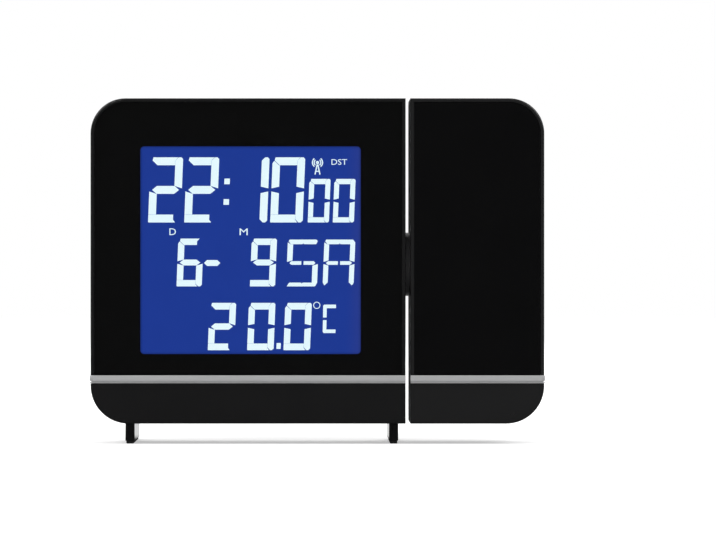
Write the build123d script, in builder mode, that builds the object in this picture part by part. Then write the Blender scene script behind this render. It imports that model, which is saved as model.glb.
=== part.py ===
"""Projection alarm clock: a display housing on two thin feet, and a projector block that turns on a hub.

Sizes are in millimetres. +Z is up, the front faces -Y and +X is to the viewer's right. The origin is on
the table, under the middle of the clock's overall box.
"""

from build123d import *
import os

os.makedirs("parts", exist_ok=True)

# Display window, and the margins that make the main housing
window_width = 67.7
window_height = 63.8
window_side = 15.3  # to the main housing's outer side
window_gap_side = 13.8
window_drop = 14.8  # to its top
window_rise = 6.5  # above the trim
window_corner = 1.2

# Housings' depth and places
body_depth = 30.0
housing_gap = 1.5  # between the two housings
foot_height = 6.3  # from the table to the undersides of the housings
foot_overhang = 7.0  # how far the feet reach behind the back

# Housings
wall = 1.8
rim_depth = 4.4  # depth of the front frames, front to joint
top_corner = 10.8
bottom_corner = 11.7
front_edge = 0.7
back_edge = 2.5
boss_radius = 3.0
boss_inset = 6.3  # from a housing's side to its screw bosses
block_boss_gap = 5.4  # from the projector block's gap side
block_boss_side = 8.1  # from its outer side
boss_drop = 9.8  # from the top
boss_rise = 4.8  # above the trim
block_boss_drop = 19.6  # the projector block's upper bosses, from the top: gap side
block_boss_side_drop = 8.0  # and outer side
block_boss_rise = 2.4  # its lower bosses, above the trim

# Fits
fit = 0.1  # between fixed pieces that drop into one another
key_fit = 0.25  # round keys and knobs
turn_fit = 0.05  # round spindles, shafts and barrels
thread_fit = 0.05  # round screw shanks

# Face plates and display
plate_thickness = 1.5
plate_inset = 1.1
print_thickness = 0.2
floor_thickness = 1.5  # frame wall behind the plates
lcd_margin = 2.0  # of glass beyond the window
glass_thickness = 1.4  # of each of the panel's two sheets
lcd_ledge = 4.2  # of the rear sheet, below the front one
guide_thickness = 3.0
led_strip = 3.2  # room for the LEDs at the guide's edge
led_count = 4
led_width = 3.0
reflector_thickness = 0.3
holder_wall = 1.4
board_thickness = 1.6
post_radius = 2.0
post_side = 2.3  # from the holder's side to the board posts
post_spread = 48.0  # between the upper and lower posts
chip_radius = 6.5
chip_height = 1.6
chip_edge = 1.2

# Trim strips
trim_rise = 12.3  # above the undersides
trim_height = 2.6
trim_thickness = 1.0
trim_proud = 0.3
trim_stop = 6.0  # the strips end this far from the back
thin_edge = 0.24  # round edge of the strips and of the top key

# Hub
hub_radius = 8.5
hub_collar = 9.85
hub_bore = 4.5
hub_plate_width = 21.0
hub_plate_height = 34.0
hub_plate_thickness = 2.0
hub_plate_corner = 3.0
hub_screw_spread_y = 14.0
hub_screw_spread_z = 27.0
bush_radius = 10.0
bush_flange = 11.3
bush_flange_thickness = 2.4
washer_thickness = 1.2
ring_thickness = 1.0
ring_groove = 7.6
hub_end = 0.8  # of shaft beyond the ring
cable_radius = 1.5

# Feet
foot_thickness = 2.9
foot_nose = 3.0  # of blade in front of the spindle
foot_spindle = 1.4
foot_pivot_inset = 7.6  # spindle behind the front
foot_side = 11.9  # left blade, from the main housing's outer side
foot_gap_side = 3.6  # right blade, from the main housing's gap side
foot_boss_height = 8.5
foot_play = 0.2  # between a blade and the underside
foot_corner = 0.95
pad_height = 0.9
pad_inset = 0.3
clip_radius = 2.2
clip_groove = 1.0
clip_thickness = 0.5
clip_room = 2.0  # cut into the wall above a boss
spindle_end = 1.5  # of spindle above the boss

# Rear keys and their board
key_width = 9.0
key_height = 5.0
key_proud = 0.8
key_corner = 0.8
key_edge = 0.27
key_travel = 0.6
key_flange = 1.0  # thickness, and how far it reaches round the key
key_pitch_x = 14.0
key_pitch_z = 11.0
key_left = 24.0  # first column, from the main housing's outer side
key_drop = 26.0  # upper row, from the top
switch_size = 6.0
switch_height = 3.5
stem_radius = 1.7
stem_height = 0.45
stem_gap = 0.05  # left under a fully pressed key
key_post_side = 8.0  # board post beside the first column
key_board_height = 24.0
knob_width = 3.0
knob_height = 2.6
knob_travel = 3.0
knob_proud = 0.6
knob_skirt = 0.6
knob_corner = 0.4
slider_width = 9.6
slider_height = 4.6
slider_gap_side = 18.8  # from the main housing's gap side

# Top key
top_key_width = 10.0
top_key_depth = 12.0
top_key_side = 32.1  # from the main housing's outer side
top_key_proud = 0.3
shelf_rib = 1.5

# Battery bay
cell_radius = 5.25
cell_length = 44.5
cell_pitch = 11.0
cell_play = 0.3
spring_room = 4.5
button_room = 1.2
button_radius = 1.75
contact_thickness = 0.4
contact_margin = 0.5  # round a contact plate, within the cell's height
spring_wire = 0.4
spring_radius = 3.2
spring_turns = 3
bay_wall = 1.4
bay_ledge = 3.5
bay_ledge_thickness = 1.2
bay_left = 15.7  # bay's pocket, from the main housing's outer side
bay_rise = 19.4  # bay's pocket, above the undersides
door_lap = 2.0  # of door beyond the pocket
knuckle_radius = 1.2  # of the door's round lower edge
hinge_pin = 0.7
hinge_pin_length = 1.2
grip_width = 12.0
grip_drop = 3.0  # first groove, from the door's top
grip_count = 4
grip_pitch = 1.6
grip_groove = 0.8
grip_depth = 0.4

# Small parts inside
antenna_radius = 4.0
antenna_length = 48.0
antenna_side = 7.1  # from the main housing's outer side
antenna_depth = 19.0  # behind the front
coil_length = 12.0
coil_thickness = 0.8
piezo_radius = 6.0
piezo_thickness = 3.0
piezo_edge = 0.7
piezo_rise = 9.0
sound_hole = 0.8
sound_hole_ring = 3.4
sound_hole_count = 6
vent_gap_side = 17.8  # from the main housing's gap side
vent_drop = 12.5
vent_width = 1.2
vent_height = 8.0
vent_pitch = 2.6
vent_count = 5
sensor_radius = 1.2

# Projector
optics_side = 24.1  # optical axis, from the block's outer side
boss_clearance = 0.35  # between the tube and the gap side's screw bosses
ring_radius = 9.0
ring_flange = 10.3
ring_drop = 0.4  # of the ring's top below the block's top
ring_hole_fit = 0.3
ring_ribs = 36
ring_rib_depth = 0.3
ring_chamfer = 1.0
barrel_radius = 6.5
barrel_wall = 1.3
barrel_length = 16.0
barrel_drop = 2.1  # of the barrel's top below the block's top
focus_travel = 1.0  # each way
ear_reach = 1.2
ear_width = 2.0
ear_height = 3.0
lens_thickness = 2.4
lens_bulge = 0.9
tube_wall = 1.7
tube_length = 41.5
tube_flange = 1.5
strap_width = 24.0
strap_height = 6.0
strap_thickness = 2.0
strap_drop = 29.0  # its middle, below the tube's top
condenser_rise = 7.0  # above the LED board
condenser_thickness = 3.0
panel_rise = 12.5
panel_size = 8.8
panel_thickness = 1.4
projector_led_radius = 2.5
projector_led_height = 5.0
projector_led_rim = 3.0
projector_led_rim_height = 1.0
led_board_size = 16.0
driver_gap = 0.5  # below the LED board
driver_height = 23.0
driver_depth = 22.0
header_length = 2.4
header_size = 4.8
header_drop = 1.3  # of the driver's header, below the driver board's top

# Screws
case_screw_radius = 1.2
case_head_radius = 2.3
case_head_height = 1.8
case_head_seat = 9.0  # head seats, in front of the back
case_screw_length = 12.0
small_screw_radius = 0.9
small_head_radius = 1.7
small_head_height = 1.1
small_screw_bite = 3.0

# Places that follow from the sizes above
tube_bore = barrel_radius + turn_fit
tube_radius = tube_bore + tube_wall
main_width = window_side + window_width + window_gap_side
block_width = block_boss_gap + boss_radius + boss_clearance + tube_radius + optics_side
overall_width = main_width + housing_gap + block_width + 2 * trim_proud
body_bottom = foot_height
trim_bottom = body_bottom + trim_rise
trim_top = trim_bottom + trim_height
body_top = trim_top + window_rise + window_height + window_drop
body_left = -overall_width / 2 + trim_proud
body_right = overall_width / 2 - trim_proud
main_right = body_left + main_width
block_left = main_right + housing_gap
optics_x = body_right - optics_side
tube_top = body_top - wall - ring_drop - tube_flange
tube_bottom = tube_top - tube_length
driver_top = tube_bottom - board_thickness - driver_gap
driver_z = (driver_top - driver_height, driver_top)
pivot_z = driver_top - header_drop - header_size / 2
overall_depth = trim_proud + body_depth + foot_overhang
front_y = trim_proud - overall_depth / 2
back_y = front_y + body_depth
mid_y = (front_y + back_y) / 2
joint_y = front_y + rim_depth
inner_back = back_y - wall
plate_back = front_y + plate_thickness
print_back = plate_back + print_thickness
floor_back = print_back + floor_thickness
glass_back = floor_back + 2 * glass_thickness
guide_back = glass_back + guide_thickness
board_front = guide_back + reflector_thickness
board_back = board_front + board_thickness
window_x = body_left + window_side + window_width / 2
window_z = trim_top + window_rise + window_height / 2


def facing_front(y):
    """The plane at depth y, facing the viewer: local X is +X and local Y is +Z."""
    return Plane.XZ.offset(-y)


def facing_right(x):
    """The plane at x, facing +X: local X is +Y and local Y is +Z."""
    return Plane.YZ.offset(x)


def level(z):
    """The horizontal plane at height z."""
    return Plane.XY.offset(z)


def cuboid(x, y, z, mode=Mode.ADD):
    """A box between the two ends given in each direction."""
    with Locations(((x[0] + x[1]) / 2, (y[0] + y[1]) / 2, (z[0] + z[1]) / 2)):
        Box(x[1] - x[0], y[1] - y[0], z[1] - z[0], mode=mode)


def rod(plane, place, radius, length, mode=Mode.ADD):
    """A cylinder that stands on a plane, at a place on it."""
    with BuildSketch(plane) as end:
        with Locations(place):
            Circle(radius)
    extrude(end.sketch, amount=length, mode=mode)


def save(piece, name):
    """Names a finished piece and writes it."""
    piece.part.label = name
    export_step(piece.part, f"parts/{name}.step")


# Outlines that several pieces share


def front_outline(plane, left, right, bottom, top, radii):
    """A face seen from the front, with its corners rounded, from bottom left anticlockwise."""
    with BuildSketch(plane) as face:
        with BuildLine():
            corners = (left, bottom), (right, bottom), (right, top), (left, top)
            FilletPolyline(*corners, radius=radii, close=True)
        make_face()
    return face.sketch


def main_outline(plane, inset=0.0):
    """The main housing's silhouette, drawn in by inset: round corners on its left side."""
    radii = [bottom_corner - inset, 0, 0, top_corner - inset]
    ends = body_left + inset, main_right - inset, body_bottom + inset, body_top - inset
    return front_outline(plane, *ends, radii)


def block_outline(plane, inset=0.0):
    """The projector block's silhouette, drawn in by inset: round corners on its right side."""
    radii = [0, bottom_corner - inset, top_corner - inset, 0]
    ends = block_left + inset, body_right - inset, body_bottom + inset, body_top - inset
    return front_outline(plane, *ends, radii)


def main_plate_outline(plane, inset):
    """The face plate of the main housing: the silhouette above the trim, drawn in by inset."""
    radii = [0, 0, 0, top_corner - inset]
    return front_outline(plane, body_left + inset, main_right - inset, trim_top, body_top - inset, radii)


def block_plate_outline(plane, inset):
    """The face plate of the projector block: the silhouette above the trim, drawn in by inset."""
    radii = [0, 0, top_corner - inset, 0]
    return front_outline(plane, block_left + inset, body_right - inset, trim_top, body_top - inset, radii)


def trim_outline(outer_x, gap_x):
    """A trim strip seen from above: along the front, and back along the outer side."""
    outward = 1 if outer_x > gap_x else -1
    corner_x = outer_x + outward * trim_proud
    inner_x = corner_x - outward * trim_thickness
    corner_y = front_y - trim_proud
    inner_y = corner_y + trim_thickness
    end_y = back_y - trim_stop
    corner = front_edge + trim_proud
    with BuildSketch(level(trim_bottom)) as band:
        with BuildLine():
            outside = (gap_x, corner_y), (corner_x, corner_y), (corner_x, end_y)
            inside = (inner_x, end_y), (inner_x, inner_y), (gap_x, inner_y)
            FilletPolyline(*outside, *inside, radius=[0, corner, 0, 0, 0, 0], close=True)
        make_face()
    return band.sketch


def window_rectangle(plane, margin, below=0.0):
    """The display window grown by margin on every side, and by more below."""
    with BuildSketch(plane) as face:
        with Locations((window_x, window_z - below / 2)):
            Rectangle(window_width + 2 * margin, window_height + 2 * margin + below)
    return face.sketch


# Places of the screw bosses, posts, keys and feet
boss_low = trim_top + boss_rise
boss_high = body_top - boss_drop
main_boss_places = [
    (x, z) for x in (body_left + boss_inset, main_right - boss_inset) for z in (boss_low, boss_high)
]
boss_joint = mid_y  # where the front and back bosses meet
holder_margin = lcd_margin + fit + holder_wall
holder_half_width = window_width / 2 + holder_margin
lcd_middle = window_z - lcd_ledge / 2
post_places = [
    (window_x + side * (holder_half_width + post_side), lcd_middle + end * post_spread / 2)
    for side in (-1, 1)
    for end in (-1, 1)
]
key_places = [
    (body_left + key_left + column * key_pitch_x, body_top - key_drop - row * key_pitch_z)
    for row in range(2)
    for column in range(3)
]
key_names = ["mode", "alarm", "up", "wave", "units", "down"]
slider_x = main_right - slider_gap_side
slider_z = body_top - key_drop - key_pitch_z / 2
foot_y = front_y + foot_pivot_inset
foot_left_x = body_left + foot_side
foot_right_x = main_right - foot_gap_side
foot_boss_top = body_bottom + foot_boss_height
top_key_x = body_left + top_key_side
top_key_y = mid_y + wall
bay_length = cell_length + spring_room + button_room
bay_height = 2 * cell_radius + cell_pitch + 2 * cell_play
bay_depth = 2 * cell_radius + 2 * cell_play
bay_x = (body_left + bay_left, body_left + bay_left + bay_length)
bay_z = (body_bottom + bay_rise, body_bottom + bay_rise + bay_height)
bay_floor = inner_back - bay_depth
door_x = (bay_x[0] - door_lap, bay_x[1] + door_lap)
door_z = (bay_z[0] - door_lap, bay_z[1] + door_lap)
hinge_place = (back_y - knuckle_radius, door_z[0] + knuckle_radius)
antenna_x = body_left + antenna_side
antenna_y = front_y + antenna_depth
antenna_z = (bay_z[0] + boss_high) / 2
piezo_place = (window_x, body_bottom + piezo_rise)
vent_place = (main_right - vent_gap_side, body_top - vent_drop)
key_flange_front = inner_back - key_flange
stem_top = key_flange_front - key_travel - stem_gap
key_board_back = stem_top - stem_height - switch_height
key_post_places = [
    (x, body_top - key_drop - key_pitch_z / 2)
    for x in (key_places[0][0] - key_post_side, (key_places[2][0] + slider_x) / 2)
]
key_board_x = (key_post_places[0][0] - 2 * post_radius, slider_x + slider_width)
top_stem_z = body_top - wall - key_flange - key_travel - stem_gap
top_board_z = top_stem_z - stem_height - switch_height - board_thickness
top_board_width = top_key_width + 2 * key_flange + 2 * shelf_rib


def grown(span, margin):
    """A pair of ends moved apart by margin each."""
    return span[0] - margin, span[1] + margin


def case_boss(places):
    """Back shell screw bosses: tubes from the back wall to where the front bosses meet them."""
    with BuildSketch(facing_front(inner_back)) as tubes:
        with Locations(*places):
            Circle(boss_radius)
    extrude(tubes.sketch, amount=inner_back - boss_joint)
    with BuildSketch(facing_front(back_y)) as seats:
        with Locations(*places):
            Circle(case_head_radius + fit)
    extrude(seats.sketch, amount=case_head_seat, mode=Mode.SUBTRACT)
    with BuildSketch(facing_front(back_y)) as shanks:
        with Locations(*places):
            Circle(case_screw_radius + fit)
    extrude(shanks.sketch, amount=back_y - boss_joint, mode=Mode.SUBTRACT)


# Main housing: front frame, back shell, face plate and what it shows

with BuildPart() as main_front_frame:
    extrude(main_outline(facing_front(joint_y)), amount=rim_depth)
    fillet(main_front_frame.faces().sort_by(Axis.Y)[0].edges(), front_edge)
    extrude(main_outline(facing_front(joint_y), wall), amount=rim_depth - wall, mode=Mode.SUBTRACT)
    floor_ends = body_left + wall / 2, main_right - wall / 2, trim_bottom - wall, body_top - wall / 2
    floor_face = front_outline(facing_front(floor_back), *floor_ends, [0, 0, 0, top_corner - wall / 2])
    extrude(floor_face, amount=floor_thickness)
    extrude(main_plate_outline(facing_front(print_back), plate_inset), amount=rim_depth, mode=Mode.SUBTRACT)
    opening = window_rectangle(facing_front(floor_back), lcd_margin / 2)
    extrude(opening, amount=floor_thickness, mode=Mode.SUBTRACT)
    extrude(trim_outline(body_left, main_right), amount=trim_height, mode=Mode.SUBTRACT)
    for places, end, radius, hole in (
        (main_boss_places, boss_joint, boss_radius, case_screw_radius),
        (post_places, board_front, post_radius, small_screw_radius),
    ):
        with BuildSketch(facing_front(end)):
            with Locations(*places):
                Circle(radius)
                Circle(hole + thread_fit, mode=Mode.SUBTRACT)
        extrude(amount=end - floor_back)
save(main_front_frame, "main_front_frame")

with BuildPart() as main_back_shell:
    extrude(main_outline(facing_front(back_y)), amount=back_y - joint_y)
    outer_back = main_back_shell.faces().sort_by(Axis.Y)[-1].edges().sort_by(Axis.X)[:-1]
    fillet(outer_back, back_edge)
    extrude(main_outline(facing_front(inner_back), wall), amount=inner_back - joint_y, mode=Mode.SUBTRACT)
    extrude(trim_outline(body_left, main_right), amount=trim_height, mode=Mode.SUBTRACT)
    # battery bay: a ledge under the door, and a box with its pocket
    cuboid(grown(bay_x, bay_ledge), (inner_back - bay_ledge_thickness, inner_back), grown(bay_z, bay_ledge))
    cuboid(grown(bay_x, bay_wall), (bay_floor - bay_wall, inner_back), grown(bay_z, bay_wall))
    cuboid(bay_x, (bay_floor, back_y), bay_z, mode=Mode.SUBTRACT)
    cuboid(grown(door_x, fit), (inner_back, back_y), grown(door_z, fit), mode=Mode.SUBTRACT)
    # channel of the door's round edge, and the bores of its pins
    door_length = door_x[1] - door_x[0] + 2 * fit
    rod(facing_right(door_x[0] - fit), hinge_place, knuckle_radius + fit, door_length, mode=Mode.SUBTRACT)
    pin_room = (door_x[0] - hinge_pin_length - fit, door_length + 2 * hinge_pin_length)
    rod(facing_right(pin_room[0]), hinge_place, hinge_pin + turn_fit, pin_room[1], mode=Mode.SUBTRACT)
    # screw bosses
    case_boss(main_boss_places)
    # foot bosses, with their bores
    for foot_x in (foot_left_x, foot_right_x):
        rod(level(body_bottom), (foot_x, foot_y), boss_radius, foot_boss_height)
        bore = foot_spindle + turn_fit
        rod(level(body_bottom), (foot_x, foot_y), bore, foot_boss_height, mode=Mode.SUBTRACT)
        rod(level(foot_boss_top), (foot_x, foot_y), clip_radius + key_fit, clip_room, mode=Mode.SUBTRACT)
    # seat of the hub's bush
    rod(facing_right(main_right - wall), (mid_y, pivot_z), bush_radius, wall, mode=Mode.SUBTRACT)
    # key holes, and the slot of the projection switch
    with BuildSketch(facing_front(back_y)):
        with Locations(*key_places):
            RectangleRounded(key_width + 2 * key_fit, key_height + 2 * key_fit, key_corner + key_fit)
        with Locations((slider_x, slider_z)):
            Rectangle(knob_width + knob_travel + 2 * key_fit, knob_height + 2 * key_fit)
    extrude(amount=wall, mode=Mode.SUBTRACT)
    # hole of the top key, and the two ribs that carry its switch board
    with BuildSketch(level(body_top)):
        with Locations((top_key_x, top_key_y)):
            RectangleRounded(top_key_width + 2 * key_fit, top_key_depth + 2 * key_fit, key_corner + key_fit)
    extrude(amount=-wall, mode=Mode.SUBTRACT)
    for side in (-1, 1):
        rib_x = top_key_x + side * (top_board_width - shelf_rib) / 2
        cuboid(
            (rib_x - shelf_rib / 2, rib_x + shelf_rib / 2),
            (top_key_y - top_key_depth / 2, inner_back),
            (top_board_z - shelf_rib, top_board_z),
        )
    # cradles of the antenna, and posts of the key board
    for cradle_z in (antenna_z - antenna_length / 3, antenna_z + antenna_length / 3):
        cuboid(
            (antenna_x - antenna_radius, antenna_x + antenna_radius),
            (antenna_y, inner_back),
            (cradle_z - shelf_rib / 2, cradle_z + shelf_rib / 2),
        )
    rod(level(antenna_z - antenna_length / 2), (antenna_x, antenna_y), antenna_radius + fit, antenna_length,
        mode=Mode.SUBTRACT)
    with BuildSketch(facing_front(inner_back)):
        with Locations(*key_post_places):
            Circle(post_radius)
            Circle(small_screw_radius + thread_fit, mode=Mode.SUBTRACT)
    extrude(amount=inner_back - key_board_back)
    # sound holes and air slots
    with BuildSketch(facing_front(back_y)):
        with Locations(piezo_place):
            Circle(sound_hole)
            with PolarLocations(sound_hole_ring, sound_hole_count):
                Circle(sound_hole)
        with Locations(vent_place):
            with GridLocations(vent_pitch, 1, vent_count, 1):
                SlotOverall(vent_height, vent_width, rotation=90)
    extrude(amount=wall, mode=Mode.SUBTRACT)
save(main_back_shell, "main_back_shell")

with BuildPart() as window_plate:
    extrude(main_plate_outline(facing_front(plate_back), plate_inset + fit), amount=plate_thickness)
save(window_plate, "window_plate")

with BuildPart() as window_mask:
    extrude(main_plate_outline(facing_front(print_back), plate_inset + fit), amount=print_thickness)
    with BuildSketch(facing_front(print_back)):
        with Locations((window_x, window_z)):
            RectangleRounded(window_width, window_height, window_corner)
    extrude(amount=print_thickness, mode=Mode.SUBTRACT)
save(window_mask, "window_mask")

with BuildPart() as main_trim:
    extrude(trim_outline(body_left, main_right), amount=trim_height)
    fillet(main_trim.faces().sort_by(Axis.Y)[0].edges().filter_by(Axis.X), thin_edge)
save(main_trim, "main_trim")

with BuildPart() as lcd_panel:
    extrude(window_rectangle(facing_front(floor_back + glass_thickness), lcd_margin), amount=glass_thickness)
    extrude(window_rectangle(facing_front(glass_back), lcd_margin, lcd_ledge), amount=glass_thickness)
save(lcd_panel, "lcd_panel")

guide_left = window_x - window_width / 2 - lcd_margin
guide_right = window_x + window_width / 2 + lcd_margin - led_strip
guide_z = (window_z - window_height / 2 - lcd_margin, window_z + window_height / 2 + lcd_margin)
with BuildPart() as light_guide:
    cuboid((guide_left, guide_right), (glass_back, guide_back), guide_z)
save(light_guide, "light_guide")

with BuildPart() as reflector_sheet:
    cuboid((guide_left, guide_right), (guide_back, board_front), guide_z)
save(reflector_sheet, "reflector_sheet")

with BuildPart() as backlight_leds:
    led_pitch = (guide_z[1] - guide_z[0]) / led_count
    for turn in range(led_count):
        led_z = guide_z[0] + (turn + 0.5) * led_pitch
        led_x = (guide_right, guide_right + led_strip - 2 * fit)
        cuboid(led_x, (glass_back + fit, board_front), (led_z - led_width / 2, led_z + led_width / 2))
save(backlight_leds, "backlight_leds")

with BuildPart() as zebra_strip:
    ledge_z = guide_z[0] - lcd_ledge / 2
    strip_x = (guide_left + bay_wall, guide_right - bay_wall)
    cuboid(strip_x, (glass_back, board_front), (ledge_z - lcd_ledge / 4, ledge_z + lcd_ledge / 4))
save(zebra_strip, "zebra_strip")

with BuildPart() as display_holder:
    holder_face = window_rectangle(facing_front(board_front), holder_margin, lcd_ledge)
    extrude(holder_face, amount=board_front - floor_back)
    glass_face = window_rectangle(facing_front(board_front), lcd_margin + fit, lcd_ledge)
    extrude(glass_face, amount=board_front - floor_back, mode=Mode.SUBTRACT)
save(display_holder, "display_holder")

with BuildPart() as main_board:
    extrude(window_rectangle(facing_front(board_back), holder_margin, lcd_ledge), amount=board_thickness)
    with BuildSketch(facing_front(board_back)):
        for end in (-1, 1):
            with Locations((window_x, lcd_middle + end * post_spread / 2)):
                SlotCenterToCenter(2 * (holder_half_width + post_side), 2 * post_radius)
    extrude(amount=board_thickness)
    with BuildSketch(facing_front(board_back)):
        with Locations(*post_places):
            Circle(small_screw_radius + fit)
    extrude(amount=board_thickness, mode=Mode.SUBTRACT)
save(main_board, "main_board")

header_x = (window_x + holder_half_width - 2 * header_size, window_x + holder_half_width - header_size)
with BuildPart() as board_header:
    cuboid(header_x, (board_back, mid_y + header_size / 2), (pivot_z - header_size, pivot_z + header_size))
save(board_header, "board_header")

with BuildPart() as controller_chip:
    with BuildSketch(facing_front(board_back)):
        with Locations((window_x, window_z + window_height / 4)):
            Circle(chip_radius)
    extrude(amount=-chip_height)
    fillet(controller_chip.faces().sort_by(Axis.Y)[-1].edges(), chip_edge)
save(controller_chip, "controller_chip")

with BuildPart() as board_screws:
    with BuildSketch(facing_front(board_back + small_head_height)):
        with Locations(*post_places):
            Circle(small_head_radius)
    extrude(amount=small_head_height)
    with BuildSketch(facing_front(board_back)):
        with Locations(*post_places):
            Circle(small_screw_radius)
    extrude(amount=board_thickness + small_screw_bite)
    with BuildSketch(facing_front(key_board_back - board_thickness)):
        with Locations(*key_post_places):
            Circle(small_head_radius)
    extrude(amount=small_head_height)
    with BuildSketch(facing_front(key_board_back - board_thickness)):
        with Locations(*key_post_places):
            Circle(small_screw_radius)
    extrude(amount=-(board_thickness + small_screw_bite))
save(board_screws, "board_screws")

with BuildPart() as main_case_screws:
    with BuildSketch(facing_front(back_y - case_head_seat + case_head_height)):
        with Locations(*main_boss_places):
            Circle(case_head_radius)
    extrude(amount=case_head_height)
    with BuildSketch(facing_front(back_y - case_head_seat)):
        with Locations(*main_boss_places):
            Circle(case_screw_radius)
    extrude(amount=case_screw_length)
save(main_case_screws, "main_case_screws")

# Antenna, sounder and sensor

with BuildPart() as antenna_rod:
    rod(level(antenna_z - antenna_length / 2), (antenna_x, antenna_y), antenna_radius, antenna_length)
save(antenna_rod, "antenna_rod")

with BuildPart() as antenna_coil:
    with BuildSketch(level(antenna_z - coil_length / 2)):
        with Locations((antenna_x, antenna_y)):
            Circle(antenna_radius + coil_thickness)
            Circle(antenna_radius + thread_fit, mode=Mode.SUBTRACT)
    extrude(amount=coil_length)
save(antenna_coil, "antenna_coil")

with BuildPart() as piezo_sounder:
    rod(facing_front(inner_back), piezo_place, piezo_radius, piezo_thickness)
    fillet(piezo_sounder.faces().sort_by(Axis.Y)[0].edges(), piezo_edge)
save(piezo_sounder, "piezo_sounder")

with BuildPart() as temperature_sensor:
    sensor_z = vent_place[1] - vent_height / 2 - 2 * sensor_radius
    with Locations((vent_place[0], inner_back - sensor_radius, sensor_z)):
        Sphere(sensor_radius)
save(temperature_sensor, "temperature_sensor")

# Rear keys: each is a cap in its hole, with a flange inside the back wall

for key_name, (key_x, key_z) in zip(key_names, key_places):
    with BuildPart() as key_cap:
        with BuildSketch(facing_front(back_y + key_proud)):
            with Locations((key_x, key_z)):
                RectangleRounded(key_width, key_height, key_corner)
        extrude(amount=key_proud + wall)
        fillet(key_cap.faces().sort_by(Axis.Y)[-1].edges(), key_edge)
        with BuildSketch(facing_front(inner_back)):
            with Locations((key_x, key_z)):
                Rectangle(key_width + 2 * key_flange, key_height + 2 * key_flange)
        extrude(amount=key_flange)
    save(key_cap, f"key_{key_name}")

with BuildPart() as switch_knob:
    knob_x = slider_x - knob_travel / 2
    with BuildSketch(facing_front(back_y + knob_proud)):
        with Locations((knob_x, slider_z)):
            RectangleRounded(knob_width, knob_height, knob_corner)
    extrude(amount=knob_proud + wall)
    with BuildSketch(facing_front(inner_back)):
        with Locations((knob_x, slider_z)):
            Rectangle(knob_width + 2 * knob_travel, slider_height)
    extrude(amount=knob_skirt)
save(switch_knob, "switch_knob")

with BuildPart() as top_key:
    with BuildSketch(level(body_top - wall)):
        with Locations((top_key_x, top_key_y)):
            RectangleRounded(top_key_width, top_key_depth, key_corner)
    extrude(amount=wall + top_key_proud)
    fillet(top_key.faces().sort_by(Axis.Z)[-1].edges(), thin_edge)
    with BuildSketch(level(body_top - wall)):
        with Locations((top_key_x, top_key_y)):
            Rectangle(top_key_width + 2 * key_flange, top_key_depth + 2 * key_flange)
    extrude(amount=-key_flange)
save(top_key, "top_key")

with BuildPart() as key_boards:
    key_board_z = (slider_z - key_board_height / 2, slider_z + key_board_height / 2)
    cuboid(key_board_x, (key_board_back - board_thickness, key_board_back), key_board_z)
    with BuildSketch(facing_front(key_board_back)):
        with Locations(*key_post_places):
            Circle(small_screw_radius + fit)
    extrude(amount=board_thickness, mode=Mode.SUBTRACT)
    cuboid(
        (top_key_x - top_board_width / 2, top_key_x + top_board_width / 2),
        (top_key_y - top_key_depth / 2, top_key_y + top_key_depth / 2),
        (top_board_z, top_board_z + board_thickness),
    )
save(key_boards, "key_boards")

with BuildPart() as key_switches:
    with BuildSketch(facing_front(key_board_back + switch_height)):
        with Locations(*key_places):
            Rectangle(switch_size, switch_size)
    extrude(amount=switch_height)
    with BuildSketch(facing_front(stem_top)):
        with Locations(*key_places):
            Circle(stem_radius)
    extrude(amount=stem_height)
    with Locations((top_key_x, top_key_y, top_board_z + board_thickness + switch_height / 2)):
        Box(switch_size, switch_size, switch_height)
    rod(level(top_stem_z - stem_height), (top_key_x, top_key_y), stem_radius, stem_height)
    slider_body = (key_board_back, inner_back - knob_skirt - fit)
    cuboid(
        (slider_x - slider_width / 2, slider_x + slider_width / 2),
        slider_body,
        (slider_z - slider_height / 2, slider_z + slider_height / 2),
    )
save(key_switches, "key_switches")

# Batteries, contacts and door

cell_y = bay_floor + cell_play + cell_radius
cell_heights = [bay_z[0] + cell_play + cell_radius + turn * cell_pitch for turn in range(2)]
with BuildPart() as battery_cells:
    # the lower cell's button points right, the upper one's left
    for cell_z, start, button in (
        (cell_heights[0], bay_x[0] + spring_room, bay_x[1] - button_room),
        (cell_heights[1], bay_x[0] + button_room, bay_x[0] + contact_thickness),
    ):
        rod(facing_right(start), (cell_y, cell_z), cell_radius, cell_length)
        rod(facing_right(button), (cell_y, cell_z), button_radius, button_room - contact_thickness)
save(battery_cells, "battery_cells")

coil_room = spring_room - contact_thickness - 2 * spring_wire
with BuildPart() as battery_contacts:
    for cell_z, spring_start in (
        (cell_heights[0], bay_x[0] + contact_thickness + spring_wire),
        (cell_heights[1], bay_x[1] - spring_room + spring_wire),
    ):
        plate_z = (cell_z - cell_radius + contact_margin, cell_z + cell_radius - contact_margin)
        for at in (bay_x[0], bay_x[1] - contact_thickness):
            cuboid((at, at + contact_thickness), (bay_floor, bay_floor + 2 * cell_radius), plate_z)
        middle = (spring_start, cell_y, cell_z)
        with BuildLine() as helix:
            Helix(coil_room / spring_turns, coil_room, spring_radius, center=middle, direction=(1, 0, 0))
        with BuildSketch(Plane(origin=helix.line @ 0, z_dir=helix.line % 0)):
            Circle(spring_wire)
        sweep(path=helix.line, is_frenet=True)
save(battery_contacts, "battery_contacts")

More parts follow.
